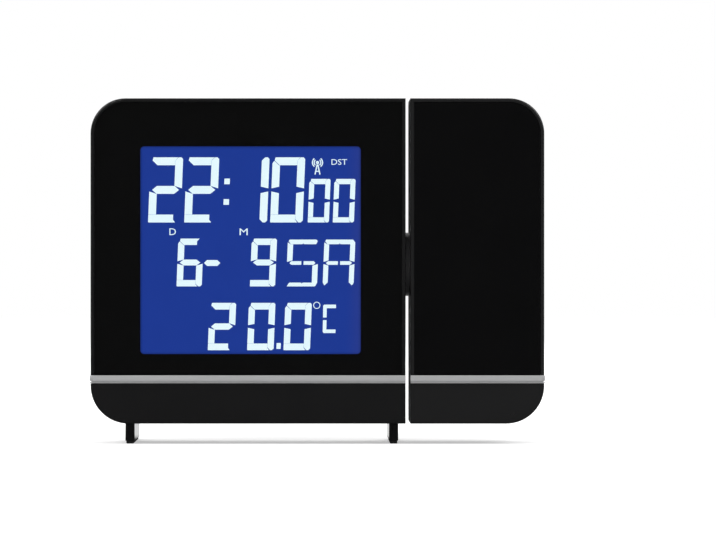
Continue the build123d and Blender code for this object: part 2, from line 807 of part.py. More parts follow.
with BuildPart() as battery_door:
    cuboid(door_x, (inner_back, back_y), (hinge_place[1], door_z[1]))
    rod(facing_right(door_x[0]), hinge_place, knuckle_radius, door_x[1] - door_x[0])
    pin_span = grown(door_x, hinge_pin_length)
    rod(facing_right(pin_span[0]), hinge_place, hinge_pin, pin_span[1] - pin_span[0])
    # grooves of the finger grip
    grip_x = (door_x[0] + door_x[1]) / 2
    with BuildSketch(facing_front(back_y)):
        for turn in range(grip_count):
            with Locations((grip_x, door_z[1] - grip_drop - turn * grip_pitch)):
                Rectangle(grip_width, grip_groove)
    extrude(amount=grip_depth, mode=Mode.SUBTRACT)
save(battery_door, "battery_door")

# Feet: a blade with a round spindle at its nose, a rubber pad under it and a clip above the boss

for foot_name, foot_x in (("left", foot_left_x), ("right", foot_right_x)):
    foot_rear = back_y + foot_overhang
    blade_x = (foot_x - foot_thickness / 2, foot_x + foot_thickness / 2)
    blade_y = (foot_y - foot_nose, foot_rear)
    blade_top = body_bottom - foot_play
    with BuildPart() as foot:
        cuboid(blade_x, blade_y, (pad_height, blade_top))
        fillet(foot.edges().filter_by(Axis.Z), foot_corner)
        spindle_length = foot_boss_top + spindle_end - blade_top + foot_play
        rod(level(blade_top - foot_play), (foot_x, foot_y), foot_spindle, spindle_length)
        with BuildSketch(level(foot_boss_top + thread_fit)):
            with Locations((foot_x, foot_y)):
                Circle(foot_spindle)
                Circle(clip_groove, mode=Mode.SUBTRACT)
        extrude(amount=clip_thickness + thread_fit, mode=Mode.SUBTRACT)
    save(foot, f"foot_{foot_name}")

    with BuildPart() as foot_pad:
        cuboid(
            (blade_x[0] + pad_inset, blade_x[1] - pad_inset),
            (blade_y[0] + pad_inset, blade_y[1] - pad_inset),
            (0, pad_height),
        )
        fillet(foot_pad.edges().filter_by(Axis.Z), foot_corner - pad_inset)
        chamfer(foot_pad.faces().sort_by(Axis.Z)[0].edges(), pad_inset / 2)
    save(foot_pad, f"foot_pad_{foot_name}")

    with BuildPart() as foot_clip:
        with BuildSketch(level(foot_boss_top + thread_fit)):
            with Locations((foot_x, foot_y)):
                Circle(clip_radius)
                Circle(clip_groove + thread_fit, mode=Mode.SUBTRACT)
            with Locations((foot_x, foot_y + clip_radius / 2)):
                Rectangle(2 * clip_groove, clip_radius, mode=Mode.SUBTRACT)
        extrude(amount=clip_thickness)
    save(foot_clip, f"foot_clip_{foot_name}")

# Hub: the bush sits in the main housing's side wall, the rest turns with the projector block

bush_face = main_right - wall - bush_flange_thickness
with BuildPart() as hub_bush:
    rod(facing_right(bush_face), (mid_y, pivot_z), bush_flange, bush_flange_thickness)
    rod(facing_right(main_right - wall), (mid_y, pivot_z), bush_radius, wall)
    bush_length = bush_flange_thickness + wall
    rod(facing_right(bush_face), (mid_y, pivot_z), hub_radius + turn_fit, bush_length, mode=Mode.SUBTRACT)
save(hub_bush, "hub_bush")

washer_face = bush_face - washer_thickness
with BuildPart() as friction_washer:
    with BuildSketch(facing_right(washer_face)):
        with Locations((mid_y, pivot_z)):
            Circle(bush_radius)
            Circle(hub_radius + thread_fit, mode=Mode.SUBTRACT)
    extrude(amount=washer_thickness)
save(friction_washer, "friction_washer")

ring_face = washer_face - ring_thickness
with BuildPart() as retaining_ring:
    with BuildSketch(facing_right(ring_face)):
        with Locations((mid_y, pivot_z)):
            Circle(bush_radius)
            Circle(ring_groove + thread_fit, mode=Mode.SUBTRACT)
        with Locations((mid_y, pivot_z - bush_radius)):
            Rectangle(hub_radius / 2, hub_radius, mode=Mode.SUBTRACT)
    extrude(amount=ring_thickness)
save(retaining_ring, "retaining_ring")

plate_x = (block_left + wall, block_left + wall + hub_plate_thickness)
hub_screw_places = [
    (mid_y + side * hub_screw_spread_y / 2, pivot_z + end * hub_screw_spread_z / 2)
    for side in (-1, 1)
    for end in (-1, 1)
]
with BuildPart() as hub_shaft:
    with BuildSketch(facing_right(plate_x[0])):
        with Locations((mid_y, pivot_z)):
            RectangleRounded(hub_plate_width, hub_plate_height, hub_plate_corner)
    extrude(amount=hub_plate_thickness)
    collar_start = main_right + key_fit
    rod(facing_right(collar_start), (mid_y, pivot_z), hub_collar, plate_x[1] - collar_start)
    shaft_start = ring_face - hub_end
    rod(facing_right(shaft_start), (mid_y, pivot_z), hub_radius, plate_x[0] - shaft_start)
    with BuildSketch(facing_right(ring_face)):
        with Locations((mid_y, pivot_z)):
            Circle(hub_radius)
            Circle(ring_groove, mode=Mode.SUBTRACT)
    extrude(amount=ring_thickness, mode=Mode.SUBTRACT)
    rod(facing_right(shaft_start), (mid_y, pivot_z), hub_bore, plate_x[1] - shaft_start, mode=Mode.SUBTRACT)
    with BuildSketch(facing_right(plate_x[0])):
        with Locations(*hub_screw_places):
            Circle(small_screw_radius + fit)
    extrude(amount=hub_plate_thickness, mode=Mode.SUBTRACT)
save(hub_shaft, "hub_shaft")

driver_x = plate_x[1] + 2 * header_length
with BuildPart() as hub_cable:
    rod(facing_right(header_x[1]), (mid_y, pivot_z), cable_radius, driver_x - header_length - header_x[1])
save(hub_cable, "hub_cable")

# Projector block: shells, face plate and trim

block_boss_places = [
    (block_left + block_boss_gap, body_top - block_boss_drop),
    (block_left + block_boss_gap, trim_top + block_boss_rise),
    (body_right - block_boss_side, body_top - block_boss_side_drop),
    (body_right - block_boss_side, trim_top + block_boss_rise),
]
with BuildPart() as projector_front_frame:
    extrude(block_outline(facing_front(joint_y)), amount=rim_depth)
    fillet(projector_front_frame.faces().sort_by(Axis.Y)[0].edges(), front_edge)
    extrude(block_outline(facing_front(joint_y), wall), amount=rim_depth - wall, mode=Mode.SUBTRACT)
    floor_ends = block_left + wall / 2, body_right - wall / 2, trim_bottom - wall, body_top - wall / 2
    floor_face = front_outline(facing_front(floor_back), *floor_ends, [0, 0, top_corner - wall / 2, 0])
    extrude(floor_face, amount=floor_thickness)
    extrude(block_plate_outline(facing_front(print_back), plate_inset), amount=rim_depth, mode=Mode.SUBTRACT)
    extrude(trim_outline(body_right, block_left), amount=trim_height, mode=Mode.SUBTRACT)
    with BuildSketch(facing_front(boss_joint)):
        with Locations(*block_boss_places):
            Circle(boss_radius)
            Circle(case_screw_radius + thread_fit, mode=Mode.SUBTRACT)
    extrude(amount=boss_joint - floor_back)
save(projector_front_frame, "projector_front_frame")

with BuildPart() as projector_face_plate:
    face_thickness = plate_thickness + print_thickness
    extrude(block_plate_outline(facing_front(print_back), plate_inset + fit), amount=face_thickness)
save(projector_face_plate, "projector_face_plate")

with BuildPart() as projector_trim:
    extrude(trim_outline(body_right, block_left), amount=trim_height)
    fillet(projector_trim.faces().sort_by(Axis.Y)[0].edges().filter_by(Axis.X), thin_edge)
save(projector_trim, "projector_trim")

strap_z = tube_top - strap_drop
strap_face = mid_y + tube_bore
strap_back = strap_face + strap_thickness
strap_places = [(optics_x + side * (strap_width / 2 - post_radius), strap_z) for side in (-1, 1)]
with BuildPart() as projector_back_shell:
    extrude(block_outline(facing_front(back_y)), amount=back_y - joint_y)
    outer_back = projector_back_shell.faces().sort_by(Axis.Y)[-1].edges().sort_by(Axis.X)[1:]
    fillet(outer_back, back_edge)
    extrude(block_outline(facing_front(inner_back), wall), amount=inner_back - joint_y, mode=Mode.SUBTRACT)
    extrude(trim_outline(body_right, block_left), amount=trim_height, mode=Mode.SUBTRACT)
    case_boss(block_boss_places)
    rod(facing_right(block_left), (mid_y, pivot_z), hub_collar + thread_fit, wall, mode=Mode.SUBTRACT)
    with BuildSketch(facing_right(block_left)):
        with Locations(*hub_screw_places):
            Circle(small_screw_radius + thread_fit)
    extrude(amount=wall, mode=Mode.SUBTRACT)
    rod(level(body_top - wall), (optics_x, mid_y), ring_radius + ring_hole_fit, wall, mode=Mode.SUBTRACT)
    # posts of the optics, and the slot that holds the driver board's edge
    with BuildSketch(facing_front(inner_back)):
        with Locations(*strap_places):
            Circle(post_radius)
            Circle(small_screw_radius + thread_fit, mode=Mode.SUBTRACT)
    extrude(amount=inner_back - strap_back)
    for rib_x in (driver_x - shelf_rib, driver_x + board_thickness):
        rib_z = (driver_z[0] + shelf_rib, driver_z[1] - shelf_rib)
        cuboid((rib_x, rib_x + shelf_rib), (inner_back - 3 * shelf_rib, inner_back), rib_z)
save(projector_back_shell, "projector_back_shell")

with BuildPart() as projector_case_screws:
    with BuildSketch(facing_front(back_y - case_head_seat + case_head_height)):
        with Locations(*block_boss_places):
            Circle(case_head_radius)
    extrude(amount=case_head_height)
    with BuildSketch(facing_front(back_y - case_head_seat)):
        with Locations(*block_boss_places):
            Circle(case_screw_radius)
    extrude(amount=case_screw_length)
save(projector_case_screws, "projector_case_screws")

# Optics: a chassis tube, closed below by the LED board, with the focus ring above it

barrel_top = body_top - barrel_drop
barrel_bottom = barrel_top - barrel_length
lens_seat_low = barrel_bottom + 1.5 * lens_thickness
lens_seat_high = barrel_top - 2 * lens_thickness
with BuildPart() as optics_chassis:
    rod(level(tube_bottom), (optics_x, mid_y), tube_radius, tube_length)
    rod(level(tube_top - tube_flange), (optics_x, mid_y), ring_flange, tube_flange)
    cuboid(
        (optics_x - strap_width / 2, optics_x + strap_width / 2),
        (strap_face, strap_back),
        (strap_z - strap_height / 2, strap_z + strap_height / 2),
    )
    rod(level(tube_bottom), (optics_x, mid_y), tube_bore, tube_length, mode=Mode.SUBTRACT)
    # slots that guide the lens barrel's ears
    cuboid(
        grown((optics_x - barrel_radius, optics_x + barrel_radius), ear_reach + fit),
        (mid_y - ear_width / 2 - fit, mid_y + ear_width / 2 + fit),
        (barrel_bottom - focus_travel - 2 * fit, tube_top),
        mode=Mode.SUBTRACT,
    )
    with BuildSketch(facing_front(strap_back)):
        with Locations(*strap_places):
            Circle(small_screw_radius + fit)
    extrude(amount=strap_thickness, mode=Mode.SUBTRACT)
save(optics_chassis, "optics_chassis")

with BuildPart() as projector_screws:
    with BuildSketch(facing_right(plate_x[1])):
        with Locations(*hub_screw_places):
            Circle(small_head_radius)
    extrude(amount=small_head_height)
    with BuildSketch(facing_right(plate_x[1])):
        with Locations(*hub_screw_places):
            Circle(small_screw_radius)
    extrude(amount=-(hub_plate_thickness + wall / 2))
    with BuildSketch(facing_front(strap_face)):
        with Locations(*strap_places):
            Circle(small_head_radius)
    extrude(amount=small_head_height)
    with BuildSketch(facing_front(strap_face)):
        with Locations(*strap_places):
            Circle(small_screw_radius)
    extrude(amount=-(strap_thickness + small_screw_bite))
save(projector_screws, "projector_screws")

with BuildPart() as focus_ring:
    ring_top = body_top - ring_drop
    rod(level(tube_top), (optics_x, mid_y), ring_flange, ring_drop + tube_flange - key_fit)
    with BuildSketch(level(tube_top)):
        with Locations((optics_x, mid_y)):
            Circle(ring_radius)
            with PolarLocations(ring_radius, ring_ribs):
                Circle(ring_rib_depth, mode=Mode.SUBTRACT)
    extrude(amount=ring_top - tube_top)
    rod(level(tube_top), (optics_x, mid_y), barrel_radius + turn_fit, ring_top - tube_top, mode=Mode.SUBTRACT)
    chamfer(focus_ring.faces().sort_by(Axis.Z)[-1].edges().sort_by(SortBy.LENGTH)[-1], ring_chamfer)
save(focus_ring, "focus_ring")

with BuildPart() as lens_barrel:
    rod(level(barrel_bottom), (optics_x, mid_y), barrel_radius, barrel_length)
    cuboid(
        grown((optics_x - barrel_radius, optics_x + barrel_radius), ear_reach),
        (mid_y - ear_width / 2, mid_y + ear_width / 2),
        (barrel_bottom, barrel_bottom + ear_height),
    )
    barrel_bore = barrel_radius - barrel_wall
    rod(level(barrel_bottom), (optics_x, mid_y), barrel_bore, barrel_length, mode=Mode.SUBTRACT)
    # a shoulder in the middle separates the two lens seats
    with BuildSketch(level(lens_seat_low)):
        with Locations((optics_x, mid_y)):
            Circle(barrel_radius - barrel_wall / 2)
            Circle(barrel_radius - 2 * barrel_wall, mode=Mode.SUBTRACT)
    extrude(amount=lens_seat_high - lens_seat_low)
    chamfer(lens_barrel.faces().sort_by(Axis.Z)[-1].edges().sort_by(SortBy.LENGTH)[0], barrel_wall / 2)
save(lens_barrel, "lens_barrel")


def lens(seat, direction, edge, bulge, radius):
    """A round lens on the optical axis: flat on its seat, bulging up or down (1 or -1) from its edge."""
    rim = seat + direction * edge
    crown = (optics_x, rim + direction * bulge)
    with BuildSketch(facing_front(mid_y)) as half:
        with BuildLine():
            Line((optics_x + radius, seat), (optics_x, seat))
            Line((optics_x, seat), crown)
            TangentArc(crown, (optics_x + radius, rim), tangent=(1, 0))
            Line((optics_x + radius, rim), (optics_x + radius, seat))
        make_face()
    revolve(half.sketch, axis=Axis((optics_x, mid_y, 0), (0, 0, 1)))


lens_radius = barrel_radius - barrel_wall - thread_fit
with BuildPart() as projection_lenses:
    lens(lens_seat_low, -1, lens_thickness / 2, lens_bulge, lens_radius)
    lens(lens_seat_high, 1, lens_thickness / 2, lens_bulge, lens_radius)
save(projection_lenses, "projection_lenses")

with BuildPart() as condenser_lens:
    condenser_edge = condenser_thickness / 2
    lens(tube_bottom + condenser_rise, 1, condenser_edge, condenser_edge, tube_bore - thread_fit)
save(condenser_lens, "condenser_lens")

with BuildPart() as projector_panel:
    with Locations((optics_x, mid_y, tube_bottom + panel_rise + panel_thickness / 2)):
        Box(panel_size, panel_size, panel_thickness)
save(projector_panel, "projector_panel")

with BuildPart() as led_board:
    with Locations((optics_x, mid_y, tube_bottom - board_thickness / 2)):
        Box(led_board_size, led_board_size, board_thickness)
save(led_board, "led_board")

with BuildPart() as projector_led:
    rod(level(tube_bottom), (optics_x, mid_y), projector_led_radius, projector_led_height)
    fillet(projector_led.faces().sort_by(Axis.Z)[-1].edges(), projector_led_radius - fit)
    rod(level(tube_bottom), (optics_x, mid_y), projector_led_rim, projector_led_rim_height)
save(projector_led, "projector_led")

with BuildPart() as driver_board:
    cuboid((driver_x, driver_x + board_thickness), (inner_back - driver_depth, inner_back - fit), driver_z)
save(driver_board, "driver_board")

with BuildPart() as driver_header:
    cuboid(
        (driver_x - header_length, driver_x),
        (mid_y - header_size / 2, mid_y + header_size / 2),
        (pivot_z - header_size / 2, pivot_z + header_size / 2),
    )
save(driver_header, "driver_header")
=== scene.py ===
"""A projection alarm clock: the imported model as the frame, with its finishes, its display and fine detail."""

from math import cos, pi, radians, sin

import bmesh
import bpy
from mathutils import Matrix, Vector


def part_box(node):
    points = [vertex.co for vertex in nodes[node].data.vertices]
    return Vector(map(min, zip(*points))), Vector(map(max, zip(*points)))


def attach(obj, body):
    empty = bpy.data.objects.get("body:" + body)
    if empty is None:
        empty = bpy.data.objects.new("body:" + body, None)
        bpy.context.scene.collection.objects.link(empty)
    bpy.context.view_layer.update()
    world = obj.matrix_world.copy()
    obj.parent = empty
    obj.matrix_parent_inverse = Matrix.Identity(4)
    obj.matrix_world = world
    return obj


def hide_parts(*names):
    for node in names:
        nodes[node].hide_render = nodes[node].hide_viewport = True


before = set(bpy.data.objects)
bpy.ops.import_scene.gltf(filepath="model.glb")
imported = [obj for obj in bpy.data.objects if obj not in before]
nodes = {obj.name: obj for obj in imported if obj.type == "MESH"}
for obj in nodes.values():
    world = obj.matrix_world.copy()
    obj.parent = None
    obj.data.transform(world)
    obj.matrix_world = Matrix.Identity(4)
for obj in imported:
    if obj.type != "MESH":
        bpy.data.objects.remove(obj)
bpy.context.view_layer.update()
mm = 0.001

# Camera: straight in front of the clock at the height of the hub, with a long lens. The clock stands left
# of the frame's middle, so the lens is shifted a little to the side.
camera_distance = 1.15
camera_height = 0.05352
frame_width = 0.21984  # of what the lens sees at the clock's front
frame_shift = 0.01246
clock_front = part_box("main_front_frame")[0].y


def added(name, data):
    """A new object, put into the scene."""
    thing = bpy.data.objects.new(name, data)
    bpy.context.collection.objects.link(thing)
    return thing


lens = bpy.data.cameras.new("camera")
lens.lens = lens.sensor_width * camera_distance / frame_width
lens.shift_x = frame_shift / frame_width
camera = added("camera", lens)
camera.location = (0, clock_front - camera_distance, camera_height)
camera.rotation_euler = (pi / 2, 0, 0)
bpy.context.scene.camera = camera

# Studio: soft light from all round, three large lamps, and a pale floor. What gloss and glass see is white
# straight behind the clock, pale to its sides and dark behind the camera, as between black studio cards.
room_light = 0.66
camera_side, lamp_side = 0.037, 0.20  # what gloss sees behind the camera, and to the sides and above
card_edge = (-0.9, 0.2)  # between those two: -1 is straight towards the camera and 1 straight away from it
white_edge = (0.975, 0.99)  # round the white card behind the clock
lamp_power = 6.0
lamp_target = Vector((0, 0, 0.05))
lamps = {  # place and size
    "lamp_left": ((-0.9, -0.6, 0.9), 0.7),
    "lamp_right": ((1.0, -0.45, 1.0), 0.7),
    "lamp_back": ((0.1, 1.1, 0.9), 0.9),
}
floor_reach = 3.0
floor_grey = 0.85
floor_glow = 0.45
floor_shine = 0.95  # what gloss sees of the floor behind the clock
shine_edge = (0.01, 0.05)  # where that begins, counted back from the clock's middle


class Value:
    """One output of a shader node. Sums on it add Math nodes to the same tree."""

    def __init__(self, shades, socket):
        self.shades = shades
        self.socket = socket

    def math(self, operation, *terms):
        return self.shades.node("ShaderNodeMath", {"operation": operation}, dict(enumerate(terms)))

    def __add__(self, other):
        return self.math("ADD", self, other)

    def __mul__(self, other):
        return self.math("MULTIPLY", self, other)

    def __sub__(self, other):
        return self.math("SUBTRACT", self, other)

    def __rsub__(self, other):
        return self.math("SUBTRACT", other, self)

    def __gt__(self, other):
        return self.math("GREATER_THAN", self, other)

    def __or__(self, other):
        return self.math("MAXIMUM", self, other)

    __radd__ = __add__
    __rmul__ = __mul__


class Shades:
    """The node tree of a finish, or of the studio."""

    def __init__(self, tree):
        self.tree = tree

    def join(self, socket, value):
        """Links a socket to a value, or gives it a number or a colour."""
        if isinstance(value, Value):
            self.tree.links.new(value.socket, socket)
        elif socket.type == "RGBA":
            socket.default_value = (*value, 1)
        else:
            socket.default_value = value

    def node(self, kind, settings=None, sockets=None, output=0):
        """Adds a node: its settings first, then its sockets' numbers, colours or links."""
        made = self.tree.nodes.new(kind)
        for name, value in (settings or {}).items():
            setattr(made, name, value)
        for name, value in (sockets or {}).items():
            self.join(made.inputs[name], value)
        return Value(self, made.outputs[output])

    def fade(self, value, start, end, first, last):
        """Goes softly from the first number to the last while the value goes from start to end."""
        limits = {0: value, 1: start, 2: end, 3: first, 4: last}
        return self.node("ShaderNodeMapRange", {"interpolation_type": "SMOOTHSTEP"}, limits)

    def part(self, place, axis):
        """A place's distance along one axis."""
        return self.node("ShaderNodeSeparateXYZ", None, {0: place}, output=axis)

    def ray(self, *kinds):
        """1 for a light path of one of these kinds, or else 0."""
        found, *others = [self.node("ShaderNodeLightPath", output=f"Is {kind} Ray") for kind in kinds]
        for other in others:
            found = found | other
        return found


bpy.context.scene.view_settings.view_transform = "Standard"
world = bpy.data.worlds.new("studio")
world.use_nodes = True
world.node_tree.nodes.clear()
bpy.context.scene.world = world
room = Shades(world.node_tree)
away = room.part(room.node("ShaderNodeTexCoord", output="Generated"), "Y")
cards = room.fade(away, *card_edge, camera_side, lamp_side)
mirrored = cards + room.fade(away, *white_edge, 0, 1 - lamp_side)
direct, glossy = room.ray("Camera"), room.ray("Glossy", "Transmission")
strength = direct + (1 - direct) * (glossy * mirrored + (1 - glossy) * room_light)
backdrop = room.node("ShaderNodeBackground", None, {"Color": (1, 1, 1), "Strength": strength})
room.join(world.node_tree.nodes.new("ShaderNodeOutputWorld").inputs["Surface"], backdrop)

for name, (place, size) in lamps.items():
    light = bpy.data.lights.new(name, "AREA")
    light.size = size
    light.energy = lamp_power
    lamp = added(name, light)
    lamp.location = place
    lamp.rotation_euler = (lamp_target - Vector(place)).to_track_quat("-Z", "Y").to_euler()

corners = [(x, y, 0) for x, y in ((-1, -1), (1, -1), (1, 1), (-1, 1))]
floor_mesh = bpy.data.meshes.new("floor")
floor_mesh.from_pydata([Vector(corner) * floor_reach for corner in corners], [], [(0, 1, 2, 3)])
floor = added("floor", floor_mesh)
paint = bpy.data.materials.new("floor")
paint.use_nodes = True
floor_mesh.materials.append(paint)
ground = Shades(paint.node_tree)
plain = ground.tree.nodes["Principled BSDF"]
ground.join(plain.inputs["Base Color"], (floor_grey, floor_grey, floor_grey))
ground.join(plain.inputs["Roughness"], 0.9)
ground.join(plain.inputs["Specular IOR Level"], 0)
depth = ground.part(ground.node("ShaderNodeTexCoord", output="Object"), "Y")
glow = ground.node("ShaderNodeEmission", None, {"Strength": ground.ray("Camera") * floor_glow})
lit = ground.node("ShaderNodeAddShader", None, {0: Value(ground, plain.outputs[0]), 1: glow})
reflected = ground.fade(depth, *shine_edge, camera_side, floor_shine)
dimmed = ground.node("ShaderNodeEmission", None, {"Strength": reflected})
by_ray = {0: ground.ray("Glossy", "Transmission"), 1: lit, 2: dimmed}
whole = ground.node("ShaderNodeMixShader", None, by_ray)
ground.join(ground.tree.nodes["Material Output"].inputs["Surface"], whole)


# Front frames: the black ABS rims and chins that carry the face plates, injection moulded with a polished
# surface. Its gloss isn't quite even, and it keeps a very faint orange peel.
class Finish(Shades):
    """A material being mixed, on places in the frame."""

    def __init__(self, name, **plain):
        self.material = bpy.data.materials.new(name)
        self.material.use_nodes = True
        super().__init__(self.material.node_tree)
        self.shader = self.tree.nodes["Principled BSDF"]
        self.set(**plain)
        self.place = self.node("ShaderNodeTexCoord", output="Object")

    def set(self, **values):
        """Gives the shader's own sockets a number, a colour or a link."""
        for name, value in values.items():
            self.join(self.shader.inputs[name.replace("_", " ")], value)

    def noise(self, waves, detail=2.0, stretch=(1, 1, 1)):
        """Soft noise from 0 to 1 with so many waves to a metre, drawn out along an axis."""
        drawn = self.node("ShaderNodeMapping", None, {"Vector": self.place, "Scale": stretch})
        return self.node("ShaderNodeTexNoise", None, {"Vector": drawn, "Scale": waves, "Detail": detail})

    def between(self, share, first, second):
        """A colour between two others."""
        return self.node("ShaderNodeMix", {"data_type": "RGBA"}, {0: share, 6: first, 7: second}, output=2)

    def mottle(self, share, first, second):
        """Gives the surface a colour between two others."""
        self.set(Base_Color=self.between(share, first, second))

    def bump(self, height, depth):
        """Relief that is so many metres deep."""
        relief = {"Height": height, "Distance": depth, "Strength": 1}
        self.set(Normal=self.node("ShaderNodeBump", None, relief))

    def dress(self, *names):
        """Gives CAD nodes this finish in place of their plain one."""
        for name in names:
            mesh = nodes[name].data
            mesh.materials.clear()
            mesh.materials.append(self.material)


def polished(name, dark, pale, roughness):
    """Black ABS from a polished mould, a little cloudy."""
    gloss = Finish(name, IOR=1.5)
    cloud = gloss.noise(waves=60)
    gloss.mottle(cloud, dark, pale)
    gloss.set(Roughness=roughness + gloss.noise(waves=900) * 0.05 + cloud * 0.05)
    gloss.bump(gloss.noise(waves=1400), depth=0.003 * mm)
    return gloss


main_gloss = polished("polished_abs", (0.0080, 0.0080, 0.0084), (0.0105, 0.0105, 0.0108), 0.20)
main_gloss.dress("main_front_frame", "top_key")
# the projector block's frame is the same black ABS, painted a little lighter: painted sheen for its brighter
# chin
block_gloss_painted_lighter = polished("polished_block_abs", (0.0115, 0.0115, 0.0120), (0.0145, 0.0145, 0.0150), 0.24)
block_gloss_painted_lighter.dress("projector_front_frame")

# Back shells and battery door: the same black ABS with a fine spark-eroded texture, which hides finger marks
# where the clock is handled. The texture is a little uneven from patch to patch.
satin = Finish("spark_eroded_abs", IOR=1.46, Specular_IOR_Level=0.35)
grain = satin.noise(waves=4200, detail=3.0)
patch = satin.noise(waves=45)
satin.mottle(patch, (0.007, 0.007, 0.0075), (0.010, 0.010, 0.0105))
satin.set(Roughness=0.40 + grain * 0.14 + patch * 0.05)
satin.bump(grain, depth=0.03 * mm)
satin.dress("main_back_shell", "projector_back_shell", "battery_door")

# Face plates: a clear acrylic window over the whole display side, and a black one on the projector block,
# both cut from polished sheet.
window = Finish("clear_acrylic", Transmission_Weight=1.0, IOR=1.49, Roughness=0.0)
window.mottle(window.noise(waves=30), (0.96, 0.975, 0.99), (1.0, 1.0, 1.0))
window.dress("window_plate")
piano = Finish("black_acrylic", IOR=1.49)
haze = piano.noise(waves=70)
piano.mottle(haze, (0.0022, 0.0022, 0.0024), (0.0034, 0.0034, 0.0036))
piano.set(Roughness=0.02 + haze * 0.03)
piano.dress("projector_face_plate")

# Black print: screen-printed film with a rounded opening for the display. It lies a hair behind the window
# plate and in front of the frame.
film_gap = 0.03 * mm
film_low, film_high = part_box("window_mask")
film_middle = (film_low.y + film_high.y) / 2


def merged_copy(node):
    """A copy of a CAD node's shape, with its loose triangles joined."""
    shape = bmesh.new()
    shape.from_mesh(nodes[node].data)
    bmesh.ops.remove_doubles(shape, verts=shape.verts, dist=0.001 * mm)
    return shape


def made_piece(name, shape, finish):
    """The piece that a worked shape becomes, in its finish."""
    mesh = bpy.data.meshes.new(name)
    shape.to_mesh(mesh)
    shape.free()
    mesh.materials.append(finish.material)
    return added(name, mesh)


sheet = merged_copy("window_mask")
for vertex in sheet.verts:
    vertex.co.y = film_low.y + film_gap if vertex.co.y < film_middle else film_high.y - film_gap
ink = Finish("screen_print", Roughness=0.6, Specular_IOR_Level=0.2)
ink.mottle(ink.noise(waves=3000), (0.0012, 0.0012, 0.0013), (0.0020, 0.0020, 0.0021))
film = made_piece("black_print", sheet, ink)
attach(film, "main_housing")
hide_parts("window_mask")

# Trim strips: thin plated strips bent round each housing's outer corner, satin brushed along their length,
# with a fine groove rolled in above the lower edge. They lie in the housings' slots with a dark line of play
# under them and a finer one above.
play_under, play_above = 0.13 * mm, 0.05 * mm
rounded_edge = 0.25 * mm  # the strip's rounded edges lie in this much of its height
groove_low, groove_high = 0.39 * mm, 0.87 * mm  # above the strip's lower edge
groove_lip = 0.05 * mm
groove_depth = 0.5 * mm
front_skin, side_skin = 0.35 * mm, 0.7 * mm  # how far in the outer face's points lie at most
silver = Finish("satin_silver", Metallic=0.45)
hair = silver.noise(waves=16000, stretch=(0.01, 0.01, 1))
silver.mottle(hair, (0.63, 0.635, 0.64), (0.78, 0.785, 0.79))
silver.set(Roughness=0.34 + hair * 0.14)
silver.bump(hair, depth=0.006 * mm)
for node, body in (("main_trim", "main_housing"), ("projector_trim", "projector_block")):
    band = merged_copy(node)
    bmesh.ops.dissolve_limit(band, angle_limit=radians(1), verts=band.verts, edges=band.edges)
    low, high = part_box(node)
    for rise in (groove_low, groove_low + groove_lip, groove_high - groove_lip, groove_high):
        uncut = band.verts[:] + band.edges[:] + band.faces[:]
        level = (0, 0, low.z + rise)
        bmesh.ops.bisect_plane(band, geom=uncut, plane_co=level, plane_no=(0, 0, 1), dist=0)
    band.normal_update()
    outer_side = max(-low.x, high.x)
    groove_start = low.z + groove_low + groove_lip / 2
    groove_end = low.z + groove_high - groove_lip / 2
    for vertex in band.verts:
        if vertex.co.z < low.z + rounded_edge:
            vertex.co.z += play_under
        elif vertex.co.z > high.z - rounded_edge:
            vertex.co.z -= play_above
        outside = vertex.co.y < low.y + front_skin or abs(vertex.co.x) > outer_side - side_skin
        if outside and groove_start < vertex.co.z < groove_end:
            inward = Vector((vertex.normal.x, vertex.normal.y, 0)).normalized()
            vertex.co -= inward * groove_depth
    strip = made_piece(f"{node}_rolled", band, silver)
    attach(strip, body)
    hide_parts(node)

# Display: a blue negative LCD, lit from its right edge, where the field is a little more violet. The light
# falls off along the window's edges.
panel_low, panel_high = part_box("lcd_panel")
panel_margin = 2.0 * mm
window_width, window_height = 67.7 * mm, 63.8 * mm
window_left = panel_low.x + panel_margin
window_right = window_left + window_width
window_bottom = panel_high.z - panel_margin - window_height
window_top = window_bottom + window_height
violet_reach = 5.0 * mm
edge_shade = 0.9 * mm
edge_light = 0.72  # of the field's light at the very edge
blue = Finish("blue_lcd", Roughness=0.15, Emission_Strength=1.0, Base_Color=(0.004, 0.008, 0.03))
across, upward = blue.part(blue.place, "X"), blue.part(blue.place, "Z")


def lit_inside(place, edge, inward):
    """Full light inside the window, and less of it at one edge."""
    return blue.fade(place, edge, edge + inward * edge_shade, edge_light, 1)


violet = blue.fade(across, window_right - violet_reach, window_right, 0, 1)
field = blue.between(violet, (0.0105, 0.0405, 0.300), (0.0190, 0.0420, 0.275))
sides = lit_inside(across, window_left, 1) * lit_inside(across, window_right, -1)
ends = lit_inside(upward, window_bottom, 1) * lit_inside(upward, window_top, -1)
uneven = blue.between(blue.noise(waves=80), (0.93, 0.93, 0.94), (1.05, 1.05, 1.04))
multiply = {"data_type": "RGBA", "blend_type": "MULTIPLY"}
lit_field = blue.node("ShaderNodeMix", multiply, {0: 1.0, 6: field, 7: uneven}, output=2)
blue.set(Emission_Color=blue.between(sides * ends, (0, 0, 0), lit_field))
blue.dress("lcd_panel")

